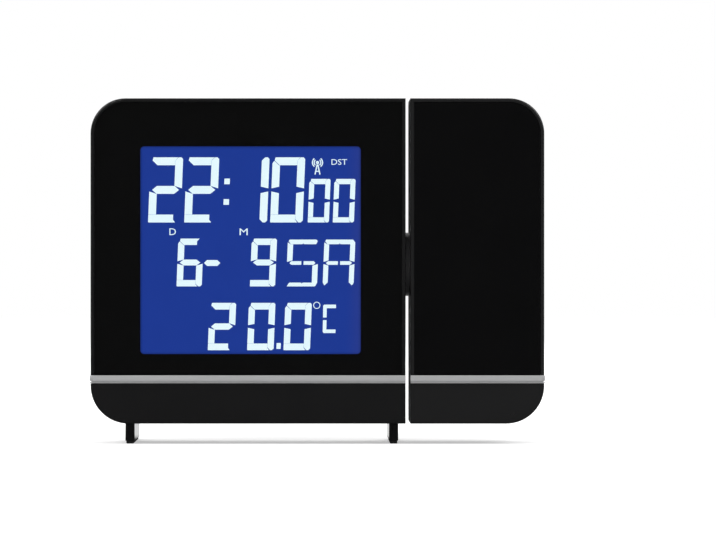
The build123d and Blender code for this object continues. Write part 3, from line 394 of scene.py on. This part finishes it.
# Lit figures: etched segments in the display, which let the white backlight through. Three rows: the time,
# the date and weekday, and the temperature. They stand a hair proud of the glass, so that nothing flickers.
# Their sizes are in millimetres, from the window's lower left corner.
slant = 0.04
figure_depth = 0.03
hairline = 0.05  # between two segments that meet
lit_by = {"0": "abcdef", "1": "bc", "2": "abged", "6": "afgedc", "9": "abfgcd"}
hours = {"width": 10.0, "height": 20.05, "stroke": 2.42, "upright_share": 0.96}
seconds = {"width": 6.5, "height": 13.4, "stroke": 1.6, "upright_share": 0.95}
dates = {"width": 7.75, "height": 14.7, "stroke": 1.95, "upright_share": 0.99, "bar_share": 0.92}
degrees = {"width": 8.15, "height": 14.55, "stroke": 2.05, "upright_share": 0.94, "bar_share": 0.95}
row_time, row_date, row_heat = 40.45, 20.78, 1.15
display_corner = Vector((window_left, panel_low.y, window_bottom))
figures = bmesh.new()


def prism(shape, outline, onto, depth):
    """A flat outline in millimetres, raised by its depth where a matrix puts it."""
    front, back = [
        [shape.verts.new(onto @ (Vector((x, y, height)) * mm)) for x, y in outline] for height in (depth, 0)
    ]
    faces = [shape.faces.new(front), shape.faces.new(reversed(back))]
    for turn, start in enumerate(front):
        after = (turn + 1) % len(outline)
        faces.append(shape.faces.new((front[after], start, back[turn], back[after])))
    bmesh.ops.recalc_face_normals(shape, faces=faces)


def facing_front(place):
    """Puts outlines upright on a front face, from a place on it."""
    return Matrix.Translation(place) @ Matrix(((1, 0, 0), (0, 0, -1), (0, 1, 0))).to_4x4()


def segments(outlines, left, bottom, lean=slant):
    """Lit segments: outlines from their figure's lower left corner, leaning with the figure."""
    for outline in outlines:
        placed = [(left + x + lean * y, bottom + y) for x, y in outline]
        prism(figures, placed, facing_front(display_corner), figure_depth)


def seven(figure, left, bottom, width, height, stroke, upright_share, bar_share=1.0):
    """A seven-segment figure: its uprights and its middle bar are a little thinner than its level strokes."""
    upright, bar = upright_share * stroke, bar_share * stroke
    inner, half, under = width - upright, height / 2, height - stroke
    end = inner - hairline  # of the level strokes
    # how far the uprights' inner and outer corners stay from half height
    inner_gap = bar / 2 + hairline if "g" in lit_by[figure] else 0.42 * bar
    outer_gap = 0.2 * stroke
    bar_start = upright - 0.02 * stroke
    shapes = {
        "a": ((0.37 * stroke, height), (width - 0.62 * stroke, height), (end, height - 0.42 * stroke),
              (end, under), (0.9 * stroke, under), (0.27 * stroke, height - 0.4 * stroke)),
        "b": ((inner, half + inner_gap), (width, half + outer_gap), (width, height - 0.22 * stroke),
              (width - 0.2 * stroke, height), (width - 0.55 * stroke, height),
              (inner, height - 0.42 * stroke)),
        "c": ((inner, 0.42 * stroke), (width - 0.55 * stroke, 0), (width - 0.25 * stroke, 0),
              (width, 0.25 * stroke), (width, half - outer_gap), (inner, half - inner_gap)),
        "d": ((0.06 * stroke, 0), (width - 0.7 * stroke, 0), (end, 0.35 * stroke), (end, stroke),
              (0, stroke), (0, 0.06 * stroke)),
        "e": ((0, stroke + hairline), (upright, stroke + hairline), (upright, half - inner_gap),
              (0, half - outer_gap)),
        "f": ((0, half + outer_gap), (upright, half + inner_gap), (upright, under - 2 * hairline),
              (0.85 * stroke, under - hairline), (0.22 * stroke, height - 0.45 * stroke),
              (0, height - 0.75 * stroke)),
        "g": ((bar_start, half - bar / 2), (inner, half - bar / 2), (width - 0.35 * stroke, half),
              (inner, half + bar / 2), (bar_start, half + bar / 2), (0.35 * stroke, half)),
    }
    segments([shapes[letter] for letter in lit_by[figure]], left, bottom)


def block(left, bottom, width, height):
    """A straight bar's outline."""
    return ((left, bottom), (left + width, bottom), (left + width, bottom + height), (left, bottom + height))


for figure, left in (("2", 2.27), ("2", 13.4), ("1", 28.87), ("0", 39.85)):
    seven(figure, left, row_time, **hours)
for left in (51.42, 59.12):
    seven("0", left, row_time, **seconds)
segments([block(0, rise, 1.68, 1.74) for rise in (11.77, 5.44)], 25.25, row_time)  # the colon
for figure, left in (("6", 11.03), ("9", 33.62)):
    seven(figure, left, row_date, **dates)
hyphen = ((0, 0.9), (0.9, 0), (4.1, 0), (5.0, 0.9), (4.1, 1.8), (0.9, 1.8))
segments([hyphen], 19.5, row_date + 6.3, 0)
for figure, left in (("2", 20.65), ("0", 32.75), ("0", 43.95)):
    seven(figure, left, row_heat, **degrees)
segments([block(0, 0.4, 1.3, 1.8)], 41.75, row_heat)  # the decimal point

# the temperature's C has two segments, with a clear gap at half its height
width, height, stroke, upright = 3.93, 8.73, 1.08, 1.1
bevel, gap_start = 0.3, height / 2 - 0.4
lower_half = ((bevel, 0), (width, 0), (width, stroke), (upright, stroke), (upright, gap_start),
              (0, gap_start), (0, bevel))
segments([lower_half, [(x, height - y) for x, y in lower_half]], 56.02, row_heat + 5.28, 0.02)

# the weekday's letters have finer segments, with notched level strokes and a middle bar in two halves
width, height, bar = 9.5, 14.4, 1.1
centre, half, notch = width / 2, height / 2, 0.28
under, over = height - 1.42, 1.15  # the top stroke's lower side, and the lowest stroke's upper side
top_stroke = ((0.55, height), (width - 0.75, height), (width - 0.3, height - 0.45), (width - 0.75, under),
              (centre + notch, under), (centre, under + notch), (centre - notch, under), (0.95, under),
              (0.25, height - 0.5))
left_bar = ((0.75, half), (1.3, half - bar / 2), (centre - 0.35, half - bar / 2),
            (centre - 0.35, half + bar / 2), (1.3, half + bar / 2))
right_bar = [(width - x, height - y) for x, y in left_bar]
lowest_stroke = ((0.2, 0), (width - 0.75, 0), (width - 0.3, 0.4), (width - 0.8, over), (centre + notch, over),
                 (centre, over - notch), (centre - notch, over), (0.9, over))
for letter, left, upright in (("S", 44.75, 1.65), ("A", 56.0, 1.5)):
    inner = width - upright
    upper_left = ((0, half + 0.35), (upright, half + 0.8), (upright, under - hairline),
                  (0.9, under - hairline), (0, height - 0.85))
    lower_right = ((inner, half - 0.8), (width, half - 0.35), (width, 1.1), (width - 0.5, 0.3),
                   (inner, over + hairline))
    upper_right = ((inner, half + 0.8), (width, half + 0.35), (width, height - 0.85),
                   (width - 0.3, height - 0.5), (inner, under - hairline))
    lower_left = [(width - x, y) for x, y in lower_right]
    others = [lowest_stroke] if letter == "S" else [upper_right, lower_left]
    segments([top_stroke, upper_left, left_bar, right_bar, lower_right, *others], left, row_date)


def ring(x, y, inner, outer, start=0, end=360, steps=16):
    """The outlines that make up a ring, or the part of it between two angles."""
    parts = []
    for step in range(steps):
        first, second = [radians(start + (end - start) * (step + more) / steps) for more in (0, 1)]
        edges = ((outer, first), (outer, second), (inner, second), (inner, first))
        parts.append([(x + reach * cos(turn), y + reach * sin(turn)) for reach, turn in edges])
    return parts


def line(x, y, to_x, to_y, width):
    """The outline of a straight stroke."""
    start, end = Vector((x, y)), Vector((to_x, to_y))
    along = end - start
    aside = Vector((-along.y, along.x)).normalized() * width / 2
    return [tuple(corner) for corner in (start - aside, end - aside, end + aside, start + aside)]


segments(ring(54.2, 14.95, 0.87, 1.1), 0, 0, 0)  # the degree sign

# the radio mast, a sign that the time comes by radio: its tip, two waves to each side, legs and a brace
mast = ring(0, 0, 0.08, 0.5, steps=12)
for reach in (0.85, 1.4):
    for side in (0, 180):
        mast += ring(0, 0, reach, reach + 0.34, side - 52, side + 52, steps=8)
mast += [line(side * 0.1, -0.6, side * 0.75, -3.7, 0.38) for side in (-1, 1)]
mast.append(line(-0.5, -2.7, 0.5, -2.7, 0.3))
segments(mast, 54.42, 58.9, 0)

bright = Finish("lit_figures", Roughness=0.3, Base_Color=(0.1, 0.12, 0.14), Emission_Strength=1.06)
bright.set(Emission_Color=bright.between(bright.noise(waves=120), (0.74, 0.93, 1.0), (0.84, 0.98, 1.0)))
digits = made_piece("display_figures", figures, bright)
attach(digits, "main_housing")

# Small captions in the display: D for the day, M for the month, and DST for daylight saving time. They are
# etched as the figures are, in plain capitals.
captions = {  # left, bottom, width and height
    "D": (8.85, 36.58, 2.0, 2.05),
    "M": (30.45, 36.55, 2.5, 2.05),
    "DST": (58.73, 58.19, 4.8, 1.75),
}
lettering = bmesh.new()
for words, (left, bottom, width, height) in captions.items():
    curve = bpy.data.curves.new("caption", "FONT")
    curve.body = words
    curve.resolution_u = 3
    curve.extrude = 0.1
    text = added("caption", curve)
    bpy.context.view_layer.update()
    shape = bpy.data.meshes.new_from_object(text.evaluated_get(bpy.context.evaluated_depsgraph_get()))
    bpy.data.objects.remove(text)
    low = [min(vertex.co[axis] for vertex in shape.vertices) for axis in range(3)]
    high = [max(vertex.co[axis] for vertex in shape.vertices) for axis in range(3)]
    fitted = (width, height, figure_depth)
    for vertex in shape.vertices:
        share = [(vertex.co[axis] - low[axis]) / (high[axis] - low[axis]) for axis in range(3)]
        flat = Vector((left, bottom, 0)) + Vector([part * full for part, full in zip(share, fitted)])
        vertex.co = facing_front(display_corner) @ (flat * mm)
    lettering.from_mesh(shape)
    bpy.data.meshes.remove(shape)
bmesh.ops.remove_doubles(lettering, verts=lettering.verts, dist=0.0001 * mm)
bmesh.ops.recalc_face_normals(lettering, faces=lettering.faces)
caption = made_piece("display_captions", lettering, bright)
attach(caption, "main_housing")

# Keys, knob and optics: matt black moulded pieces with the dull, even grain of glass-filled plastic. It
# doesn't shine when it is touched often, and it keeps stray light down inside the projector.
matt = Finish("matt_black", IOR=1.46)
speck = matt.noise(waves=3600, detail=3.0)
matt.mottle(matt.noise(waves=60), (0.012, 0.012, 0.013), (0.019, 0.019, 0.020))
matt.set(Roughness=0.5 + speck * 0.14)
matt.bump(speck, depth=0.02 * mm)
matt.dress("key_mode", "key_alarm", "key_up", "key_wave", "key_units", "key_down")
matt.dress("switch_knob", "focus_ring", "lens_barrel", "optics_chassis", "piezo_sounder", "key_switches")

# Hub: a hollow shaft that joins the two housings and carries the cable from one to the other. It is
# moulded in nylon, and turned smooth where it runs. Its grey is painted light, to make up for the shade it
# sits in, in the narrow gap between the housings.
shaft = Finish("hub_nylon", IOR=1.5)
turning = shaft.noise(waves=240, stretch=(1, 0.1, 0.1))
shaft.mottle(turning, (0.105, 0.105, 0.108), (0.135, 0.135, 0.138))
shaft.set(Roughness=0.34 + turning * 0.12)
shaft.dress("hub_shaft")

# Printed symbols: white pad print on the rear keys, on the back shell beside the projection switch, on the
# battery door and on the top key. Plain signs, no words, in millimetres from each sign's middle.
print_depth = 0.03
pad_print = Finish("white_pad_print", Roughness=0.55)
wear = pad_print.noise(waves=1800, detail=3.0)
pad_print.mottle(wear, (0.60, 0.61, 0.62), (0.78, 0.79, 0.80))


def facing_back(place):
    """Puts outlines upright on a rear face, as they are seen from behind."""
    return Matrix.Translation(place) @ Matrix(((-1, 0, 0), (0, 0, 1), (0, 1, 0))).to_4x4()


def printed_sign(name, outlines, onto, body):
    """A sign of thin ink that rides on a body."""
    drawn = bmesh.new()
    for outline in outlines:
        prism(drawn, outline, onto, print_depth)
    sign = made_piece(name, drawn, pad_print)
    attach(sign, body)


def fan(x, y, radius, start=0, end=345, steps=15):
    """The outline of a disc, or of the part of it between two angles."""
    turns = [radians(start + (end - start) * step / steps) for step in range(steps + 1)]
    return [(x + radius * cos(turn), y + radius * sin(turn)) for turn in turns]


hands = [line(0, -0.1, 0, 1.0, 0.26), line(-0.1, 0, 0.75, -0.35, 0.26)]
clock_face = [*ring(0, 0, 1.35, 1.65, steps=28), *hands]
bell = [
    [*fan(0, 0.35, 0.95, 0, 180, 12), (-1.05, -0.55), (-1.5, -1.05), (1.5, -1.05), (1.05, -0.55)],
    fan(0, -1.2, 0.42, 180, 360, 12),
    line(0, 1.25, 0, 1.65, 0.3),
]
arrow = [(-1.35, -0.95), (1.35, -0.95), (0, 1.25)]
radio_waves = [fan(-1.5, 0, 0.4)]
for reach in (0.95, 1.75, 2.55):
    radio_waves += ring(-1.5, 0, reach, reach + 0.32, -42, 42, steps=10)
thermometer = [fan(-0.6, -1.05, 0.62), line(-0.6, -0.6, -0.6, 1.45, 0.5), *ring(0.75, 1.1, 0.28, 0.55)]
thermometer += [line(0.1, rise, 0.55, rise, 0.16) for rise in (-0.45, 0.1)]
signs = {
    "key_mode": clock_face,
    "key_alarm": bell,
    "key_up": [arrow],
    "key_wave": radio_waves,
    "key_units": thermometer,
    "key_down": [[(x, -y) for x, y in arrow]],
}
for key, outlines in signs.items():
    low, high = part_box(key)
    key_middle = (low + high) / 2
    printed_sign(f"{key}_sign", outlines, facing_back(Vector((key_middle.x, high.y, key_middle.z))), key)

# the switch's signs stand over its slot: off, a projected beam, and on
switch_x = 8.3 * mm
sign_rise = 4.2  # of the signs' middle over the slot's
half_bar = 0.78
switch_low, switch_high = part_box("switch_knob")
switch_mark = Vector((switch_x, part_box("main_back_shell")[1].y, (switch_low.z + switch_high.z) / 2))
switch_signs = [
    *ring(-3.2, sign_rise, 0.5, 0.78, steps=20),
    line(3.2, sign_rise - half_bar, 3.2, sign_rise + half_bar, 0.28),
    block(-0.4, sign_rise - 0.85, 0.8, 0.45),
    ((-0.25, sign_rise - 0.2), (0.25, sign_rise - 0.2), (1.0, sign_rise + 0.9), (-1.0, sign_rise + 0.9)),
]
printed_sign("switch_sign", switch_signs, facing_back(switch_mark), "main_housing")

door_low, door_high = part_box("battery_door")
chevrons_rise = 8.5 * mm  # over the door's lower edge
chevrons = [line(side * 1.6, rise, 0, rise - 1.1, 0.35) for rise in (1.2, 0.0) for side in (-1, 1)]
door_mark = Vector(((door_low.x + door_high.x) / 2, door_high.y, door_low.z + chevrons_rise))
printed_sign("battery_door_sign", chevrons, facing_back(door_mark), "battery_door")

top_low, top_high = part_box("top_key")
lamp_sign = ring(0, 0, 0.95, 1.3, steps=24)
for turn in [pi * step / 4 for step in range(8)]:
    lamp_sign.append(line(1.75 * cos(turn), 1.75 * sin(turn), 2.4 * cos(turn), 2.4 * sin(turn), 0.3))
top_middle = (top_low + top_high) / 2
top_mark = Matrix.Translation((top_middle.x, top_middle.y, top_high.z))
printed_sign("top_key_sign", lamp_sign, top_mark, "top_key")

# Feet: black-painted zinc blades that swing flat under the housing, each with a rubber pad under it. The
# hub's cable and the display's striped connector are of the same rubber.
painted = Finish("painted_zinc", IOR=1.5)
peel = painted.noise(waves=2600)
painted.mottle(painted.noise(waves=90), (0.006, 0.006, 0.0065), (0.010, 0.010, 0.0105))
painted.set(Roughness=0.10 + peel * 0.06)
painted.bump(peel, depth=0.004 * mm)
painted.dress("foot_left", "foot_right")
rubber = Finish("foot_rubber", IOR=1.45)
crumb = rubber.noise(waves=6000, detail=4.0)
rubber.mottle(crumb, (0.010, 0.010, 0.010), (0.020, 0.020, 0.020))
rubber.set(Roughness=0.75 + crumb * 0.15)
rubber.bump(crumb, depth=0.03 * mm)
rubber.dress("foot_pad_left", "foot_pad_right", "hub_cable", "zebra_strip")

# Lenses: clear moulded lenses in the focusing barrel, with a thin coating, and the condenser that gathers
# the lamp's light under the projector's panel.
clear = Finish("lens", Transmission_Weight=1.0, IOR=1.52, Roughness=0.0)
clear.mottle(clear.noise(waves=200), (0.90, 0.93, 0.98), (0.94, 0.97, 1.0))
clear.dress("projection_lenses", "condenser_lens")

# Steel: zinc-plated screws, spring clips on the feet's spindles, the hub's retaining ring, and the cells'
# spring and plate contacts.
steel = Finish("zinc_plate", Metallic=1.0)
bloom = steel.noise(waves=1500)
steel.mottle(bloom, (0.48, 0.48, 0.49), (0.62, 0.61, 0.60))
steel.set(Roughness=0.28 + bloom * 0.15)
steel.dress("board_screws", "projector_screws", "retaining_ring")
steel.dress("foot_clip_left", "foot_clip_right", "battery_contacts")

# Case screws: pan heads with a cross recess, turned up from the back into the front frames' bosses. Their
# threads hide in the bosses, so each is a head and a shank, set at the places of the plain ones.
case_head_radius, case_head_height, case_shank_radius = 2.3 * mm, 1.8 * mm, 1.2 * mm
case_recess = 0.6 * mm
crown_share, arm_share, arm_depth_share, tip_share = 0.72, 4.6, 0.9, 0.7
top_play = 0.01 * mm  # points this near the top belong to the heads' upper faces


class Steps(Shades):
    """A Geometry Nodes tree, with its named inputs and one geometry output."""

    def __init__(self, name, inputs):
        super().__init__(bpy.data.node_groups.new(name, "GeometryNodeTree"))
        for title, kind in inputs.items():
            self.tree.interface.new_socket(title, in_out="INPUT", socket_type=f"NodeSocket{kind}")
        self.tree.interface.new_socket("Geometry", in_out="OUTPUT", socket_type="NodeSocketGeometry")
        self.start = self.tree.nodes.new("NodeGroupInput")
        self.end = self.tree.nodes.new("NodeGroupOutput")

    def given(self, *titles):
        """The values of named inputs."""
        values = [Value(self, self.start.outputs[title]) for title in titles]
        return values if len(values) > 1 else values[0]

    def sides(self, x=0.0, y=0.0, z=0.0):
        """A vector from its three sides."""
        return self.node("ShaderNodeCombineXYZ", None, {"X": x, "Y": y, "Z": z})

    def moved(self, part, offset):
        """A part moved along."""
        return self.node("GeometryNodeTransform", None, {"Geometry": part, "Translation": offset})

    def joined(self, *parts):
        """Parts put together."""
        together = self.tree.nodes.new("GeometryNodeJoinGeometry")
        for part in reversed(parts):
            self.tree.links.new(part.socket, together.inputs[0])
        return Value(self, together.outputs[0])

    def finish(self, geometry, material):
        """Makes the instances real, gives them their material and ends the tree."""
        real = self.node("GeometryNodeRealizeInstances", None, {0: geometry})
        dressed = self.node("GeometryNodeSetMaterial", None, {"Geometry": real, "Material": material})
        self.join(self.end.inputs[0], dressed)

    def run(self, base, name, values):
        """Runs the tree on a mesh and gives back the result as a plain object."""
        worker = added(name, base)
        modifier = worker.modifiers.new(name, "NODES")
        modifier.node_group = self.tree
        for socket in self.tree.interface.items_tree:
            if socket.in_out == "INPUT" and socket.name in values:
                modifier[socket.identifier] = values[socket.name]
        bpy.context.view_layer.update()
        result = bpy.data.meshes.new_from_object(worker.evaluated_get(bpy.context.evaluated_depsgraph_get()))
        worker.modifiers.clear()
        for face in result.polygons:
            face.material_index = 0
        while result.materials[0] is None:
            result.materials.pop(index=0)
        worker.data = result
        return worker


pan_screw = Steps("pan_screw", {
    "Geometry": "Geometry", "Head radius": "Float", "Head height": "Float", "Shank radius": "Float",
    "Shank length": "Float", "Recess": "Float", "Material": "Material",
})
head_radius, head_height, recess = pan_screw.given("Head radius", "Head height", "Recess")
shank_radius, shank_length = pan_screw.given("Shank radius", "Shank length")


def turned(facets, lower, upper, height):
    """A turned piece from its foot up: a cone, or a cylinder where both radii are the same."""
    sizes = {"Vertices": facets, "Radius Bottom": lower, "Radius Top": upper, "Depth": height}
    return pan_screw.node("GeometryNodeMeshCone", None, sizes)


def raised(part, height):
    """A part of the screw, moved up."""
    return pan_screw.moved(part, pan_screw.sides(z=height))


rim = turned(32, head_radius, head_radius, head_height * 0.5)
crown = raised(turned(32, head_radius, head_radius * crown_share, head_height * 0.5), head_height * 0.5)
for length, width in ((recess * arm_share, recess), (recess, recess * arm_share)):
    arm_sides = pan_screw.sides(length, width, head_height * arm_depth_share)
    arm = raised(pan_screw.node("GeometryNodeMeshCube", None, {"Size": arm_sides}), head_height)
    crown = pan_screw.node("GeometryNodeMeshBoolean", {"operation": "DIFFERENCE"}, {0: crown, 1: arm})
shank = raised(turned(20, shank_radius * tip_share, shank_radius, shank_length), 0 - shank_length)
spots = pan_screw.node("GeometryNodeMeshToPoints", None, {0: pan_screw.given("Geometry")})
laid_back = {"Points": spots, "Instance": pan_screw.joined(rim, crown, shank), "Rotation": (-pi / 2, 0, 0)}
set_in = pan_screw.node("GeometryNodeInstanceOnPoints", None, laid_back)
pan_screw.finish(set_in, pan_screw.given("Material"))

for node, body in (("main_case_screws", "main_housing"), ("projector_case_screws", "projector_block")):
    low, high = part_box(node)
    merged = merged_copy(node)
    tops = [vertex.co.copy() for vertex in merged.verts if vertex.co.y > high.y - top_play]
    merged.free()
    axes = []
    for top in tops:
        if all((top - axis).xz.length >= 3 * case_head_radius for axis in axes):
            head = [other for other in tops if (other - top).xz.length < 3 * case_head_radius]
            axes.append(sum(head, Vector()) / len(head))
    seats = [Vector((axis.x, high.y - case_head_height, axis.z)) for axis in axes]
    spot_mesh = bpy.data.meshes.new(f"{node}_places")
    spot_mesh.from_pydata(seats, [], [])
    screws = pan_screw.run(spot_mesh, f"{node}_turned", {
        "Head radius": case_head_radius, "Head height": case_head_height, "Shank radius": case_shank_radius,
        "Shank length": high.y - low.y - case_head_height, "Recess": case_recess, "Material": steel.material,
    })
    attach(screws, body)
    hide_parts(node)

# Focus ring: fine ridges moulded round its top face give the finger a grip, and one white mark shows how far
# it is turned. They turn with the ring.
ridge_count, ridge_circle = 48, 7.35 * mm
ridge_length, ridge_width, ridge_height = 0.9 * mm, 0.34 * mm, 0.3 * mm
ring_low, ring_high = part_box("focus_ring")
axis_x, axis_y = (ring_low.x + ring_high.x) / 2, (ring_low.y + ring_high.y) / 2
ring_ridges = Steps("ring_ridges", {
    "Geometry": "Geometry", "Count": "Int", "Radius": "Float", "Length": "Float", "Width": "Float",
    "Height": "Float", "Centre": "Vector", "Material": "Material",
})
count, radius, centre, material = ring_ridges.given("Count", "Radius", "Centre", "Material")
circle = ring_ridges.node("GeometryNodeMeshCircle", None, {"Vertices": count, "Radius": radius})
on_circle = ring_ridges.node("GeometryNodeMeshToPoints", None, {0: circle})
place = ring_ridges.node("GeometryNodeInputPosition")
outward = ring_ridges.node("FunctionNodeAlignRotationToVector", {"axis": "X"}, {"Vector": place})
bar_sides = ring_ridges.sides(*ring_ridges.given("Length", "Width", "Height"))
bar = ring_ridges.node("GeometryNodeMeshCube", None, {"Size": bar_sides})
each_bar = {"Points": on_circle, "Instance": bar, "Rotation": outward}
bars = ring_ridges.node("GeometryNodeInstanceOnPoints", None, each_bar)
ring_ridges.finish(ring_ridges.moved(bars, centre), material)
ridges = ring_ridges.run(bpy.data.meshes.new("ring_ridges"), "ring_ridges", {
    "Count": ridge_count, "Radius": ridge_circle, "Length": ridge_length, "Width": ridge_width,
    "Height": ridge_height, "Centre": (axis_x, axis_y, ring_high.z), "Material": matt.material,
})
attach(ridges, "focus_ring")
ring_mark = Matrix.Translation((axis_x, axis_y - ridge_circle, ring_high.z + ridge_height / 2))
printed_sign("focus_ring_sign", [fan(0, 0, 0.42)], ring_mark, "focus_ring")

# Boards: glass-fibre plates with copper tracks under a green lacquer. They carry the chips, switches and
# lamps behind the covers.
track_gap = 0.06  # half the width of the paler lines between tracks, in cells of their pattern
board = Finish("green_lacquer", Roughness=0.4)
pattern = {"Vector": board.place, "Scale": 320}
from_edge = board.node("ShaderNodeTexVoronoi", {"feature": "DISTANCE_TO_EDGE"}, pattern)
lacquer = board.between(board.noise(waves=120), (0.012, 0.100, 0.035), (0.016, 0.120, 0.042))
board.mottle(from_edge > track_gap, (0.035, 0.200, 0.080), lacquer)
board.dress("main_board", "key_boards", "led_board", "driver_board")

# White mouldings: the display's holder, light guide, reflector and lamps, the connectors, and the bush and
# washer that the hub turns in.
white = Finish("moulded_white", Roughness=0.5)
white.mottle(white.noise(waves=100), (0.72, 0.72, 0.70), (0.80, 0.80, 0.78))
white.dress("display_holder", "board_header", "driver_header", "reflector_sheet", "backlight_leds")
white.dress("hub_bush", "friction_washer", "light_guide")

# Chips: black epoxy moulded round the clock's controller and its temperature sensor, and the dark little
# panel that the projector shines through.
chip = Finish("chip_epoxy", Roughness=0.25)
chip.mottle(chip.noise(waves=400), (0.008, 0.008, 0.008), (0.014, 0.014, 0.014))
chip.dress("controller_chip", "temperature_sensor", "projector_panel")

# Radio antenna: a rod of pressed ferrite powder, with a coil of fine lacquered copper wire wound on it.
# It picks up the time signal.
ferrite = Finish("pressed_ferrite", Roughness=0.6)
ferrite.mottle(ferrite.noise(waves=900), (0.04, 0.04, 0.045), (0.07, 0.07, 0.075))
ferrite.dress("antenna_rod")
wire = Finish("wound_copper", Metallic=0.8, Roughness=0.35)
windings = wire.noise(waves=9000, detail=1.0, stretch=(1, 0.02, 0.02))
wire.mottle(windings, (0.45, 0.16, 0.06), (0.75, 0.33, 0.14))
wire.bump(windings, depth=0.05 * mm)
wire.dress("antenna_coil")

# Cells: two AAA cells in blue shrunk-on sleeves, which leave a band of bare steel at both ends. The door
# gives access to them.
rim_width = 1.6 * mm
jacket = Finish("cell_sleeve", Metallic=0.6, Roughness=0.3)
cells_low, cells_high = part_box("battery_cells")
along = jacket.part(jacket.place, "X")
bare = (along > cells_high.x - rim_width) | (1 - (along > cells_low.x + rim_width))
sleeve = jacket.between(jacket.noise(waves=200), (0.07, 0.17, 0.35), (0.10, 0.22, 0.42))
jacket.mottle(bare, sleeve, (0.58, 0.57, 0.55))
jacket.dress("battery_cells")

# Projector lamp: a red light-emitting diode in tinted clear epoxy, on its own small board under the
# condenser.
red = Finish("red_lamp", Roughness=0.2)
red.mottle(red.noise(waves=500), (0.5, 0.03, 0.02), (0.7, 0.06, 0.04))
red.dress("projector_led")
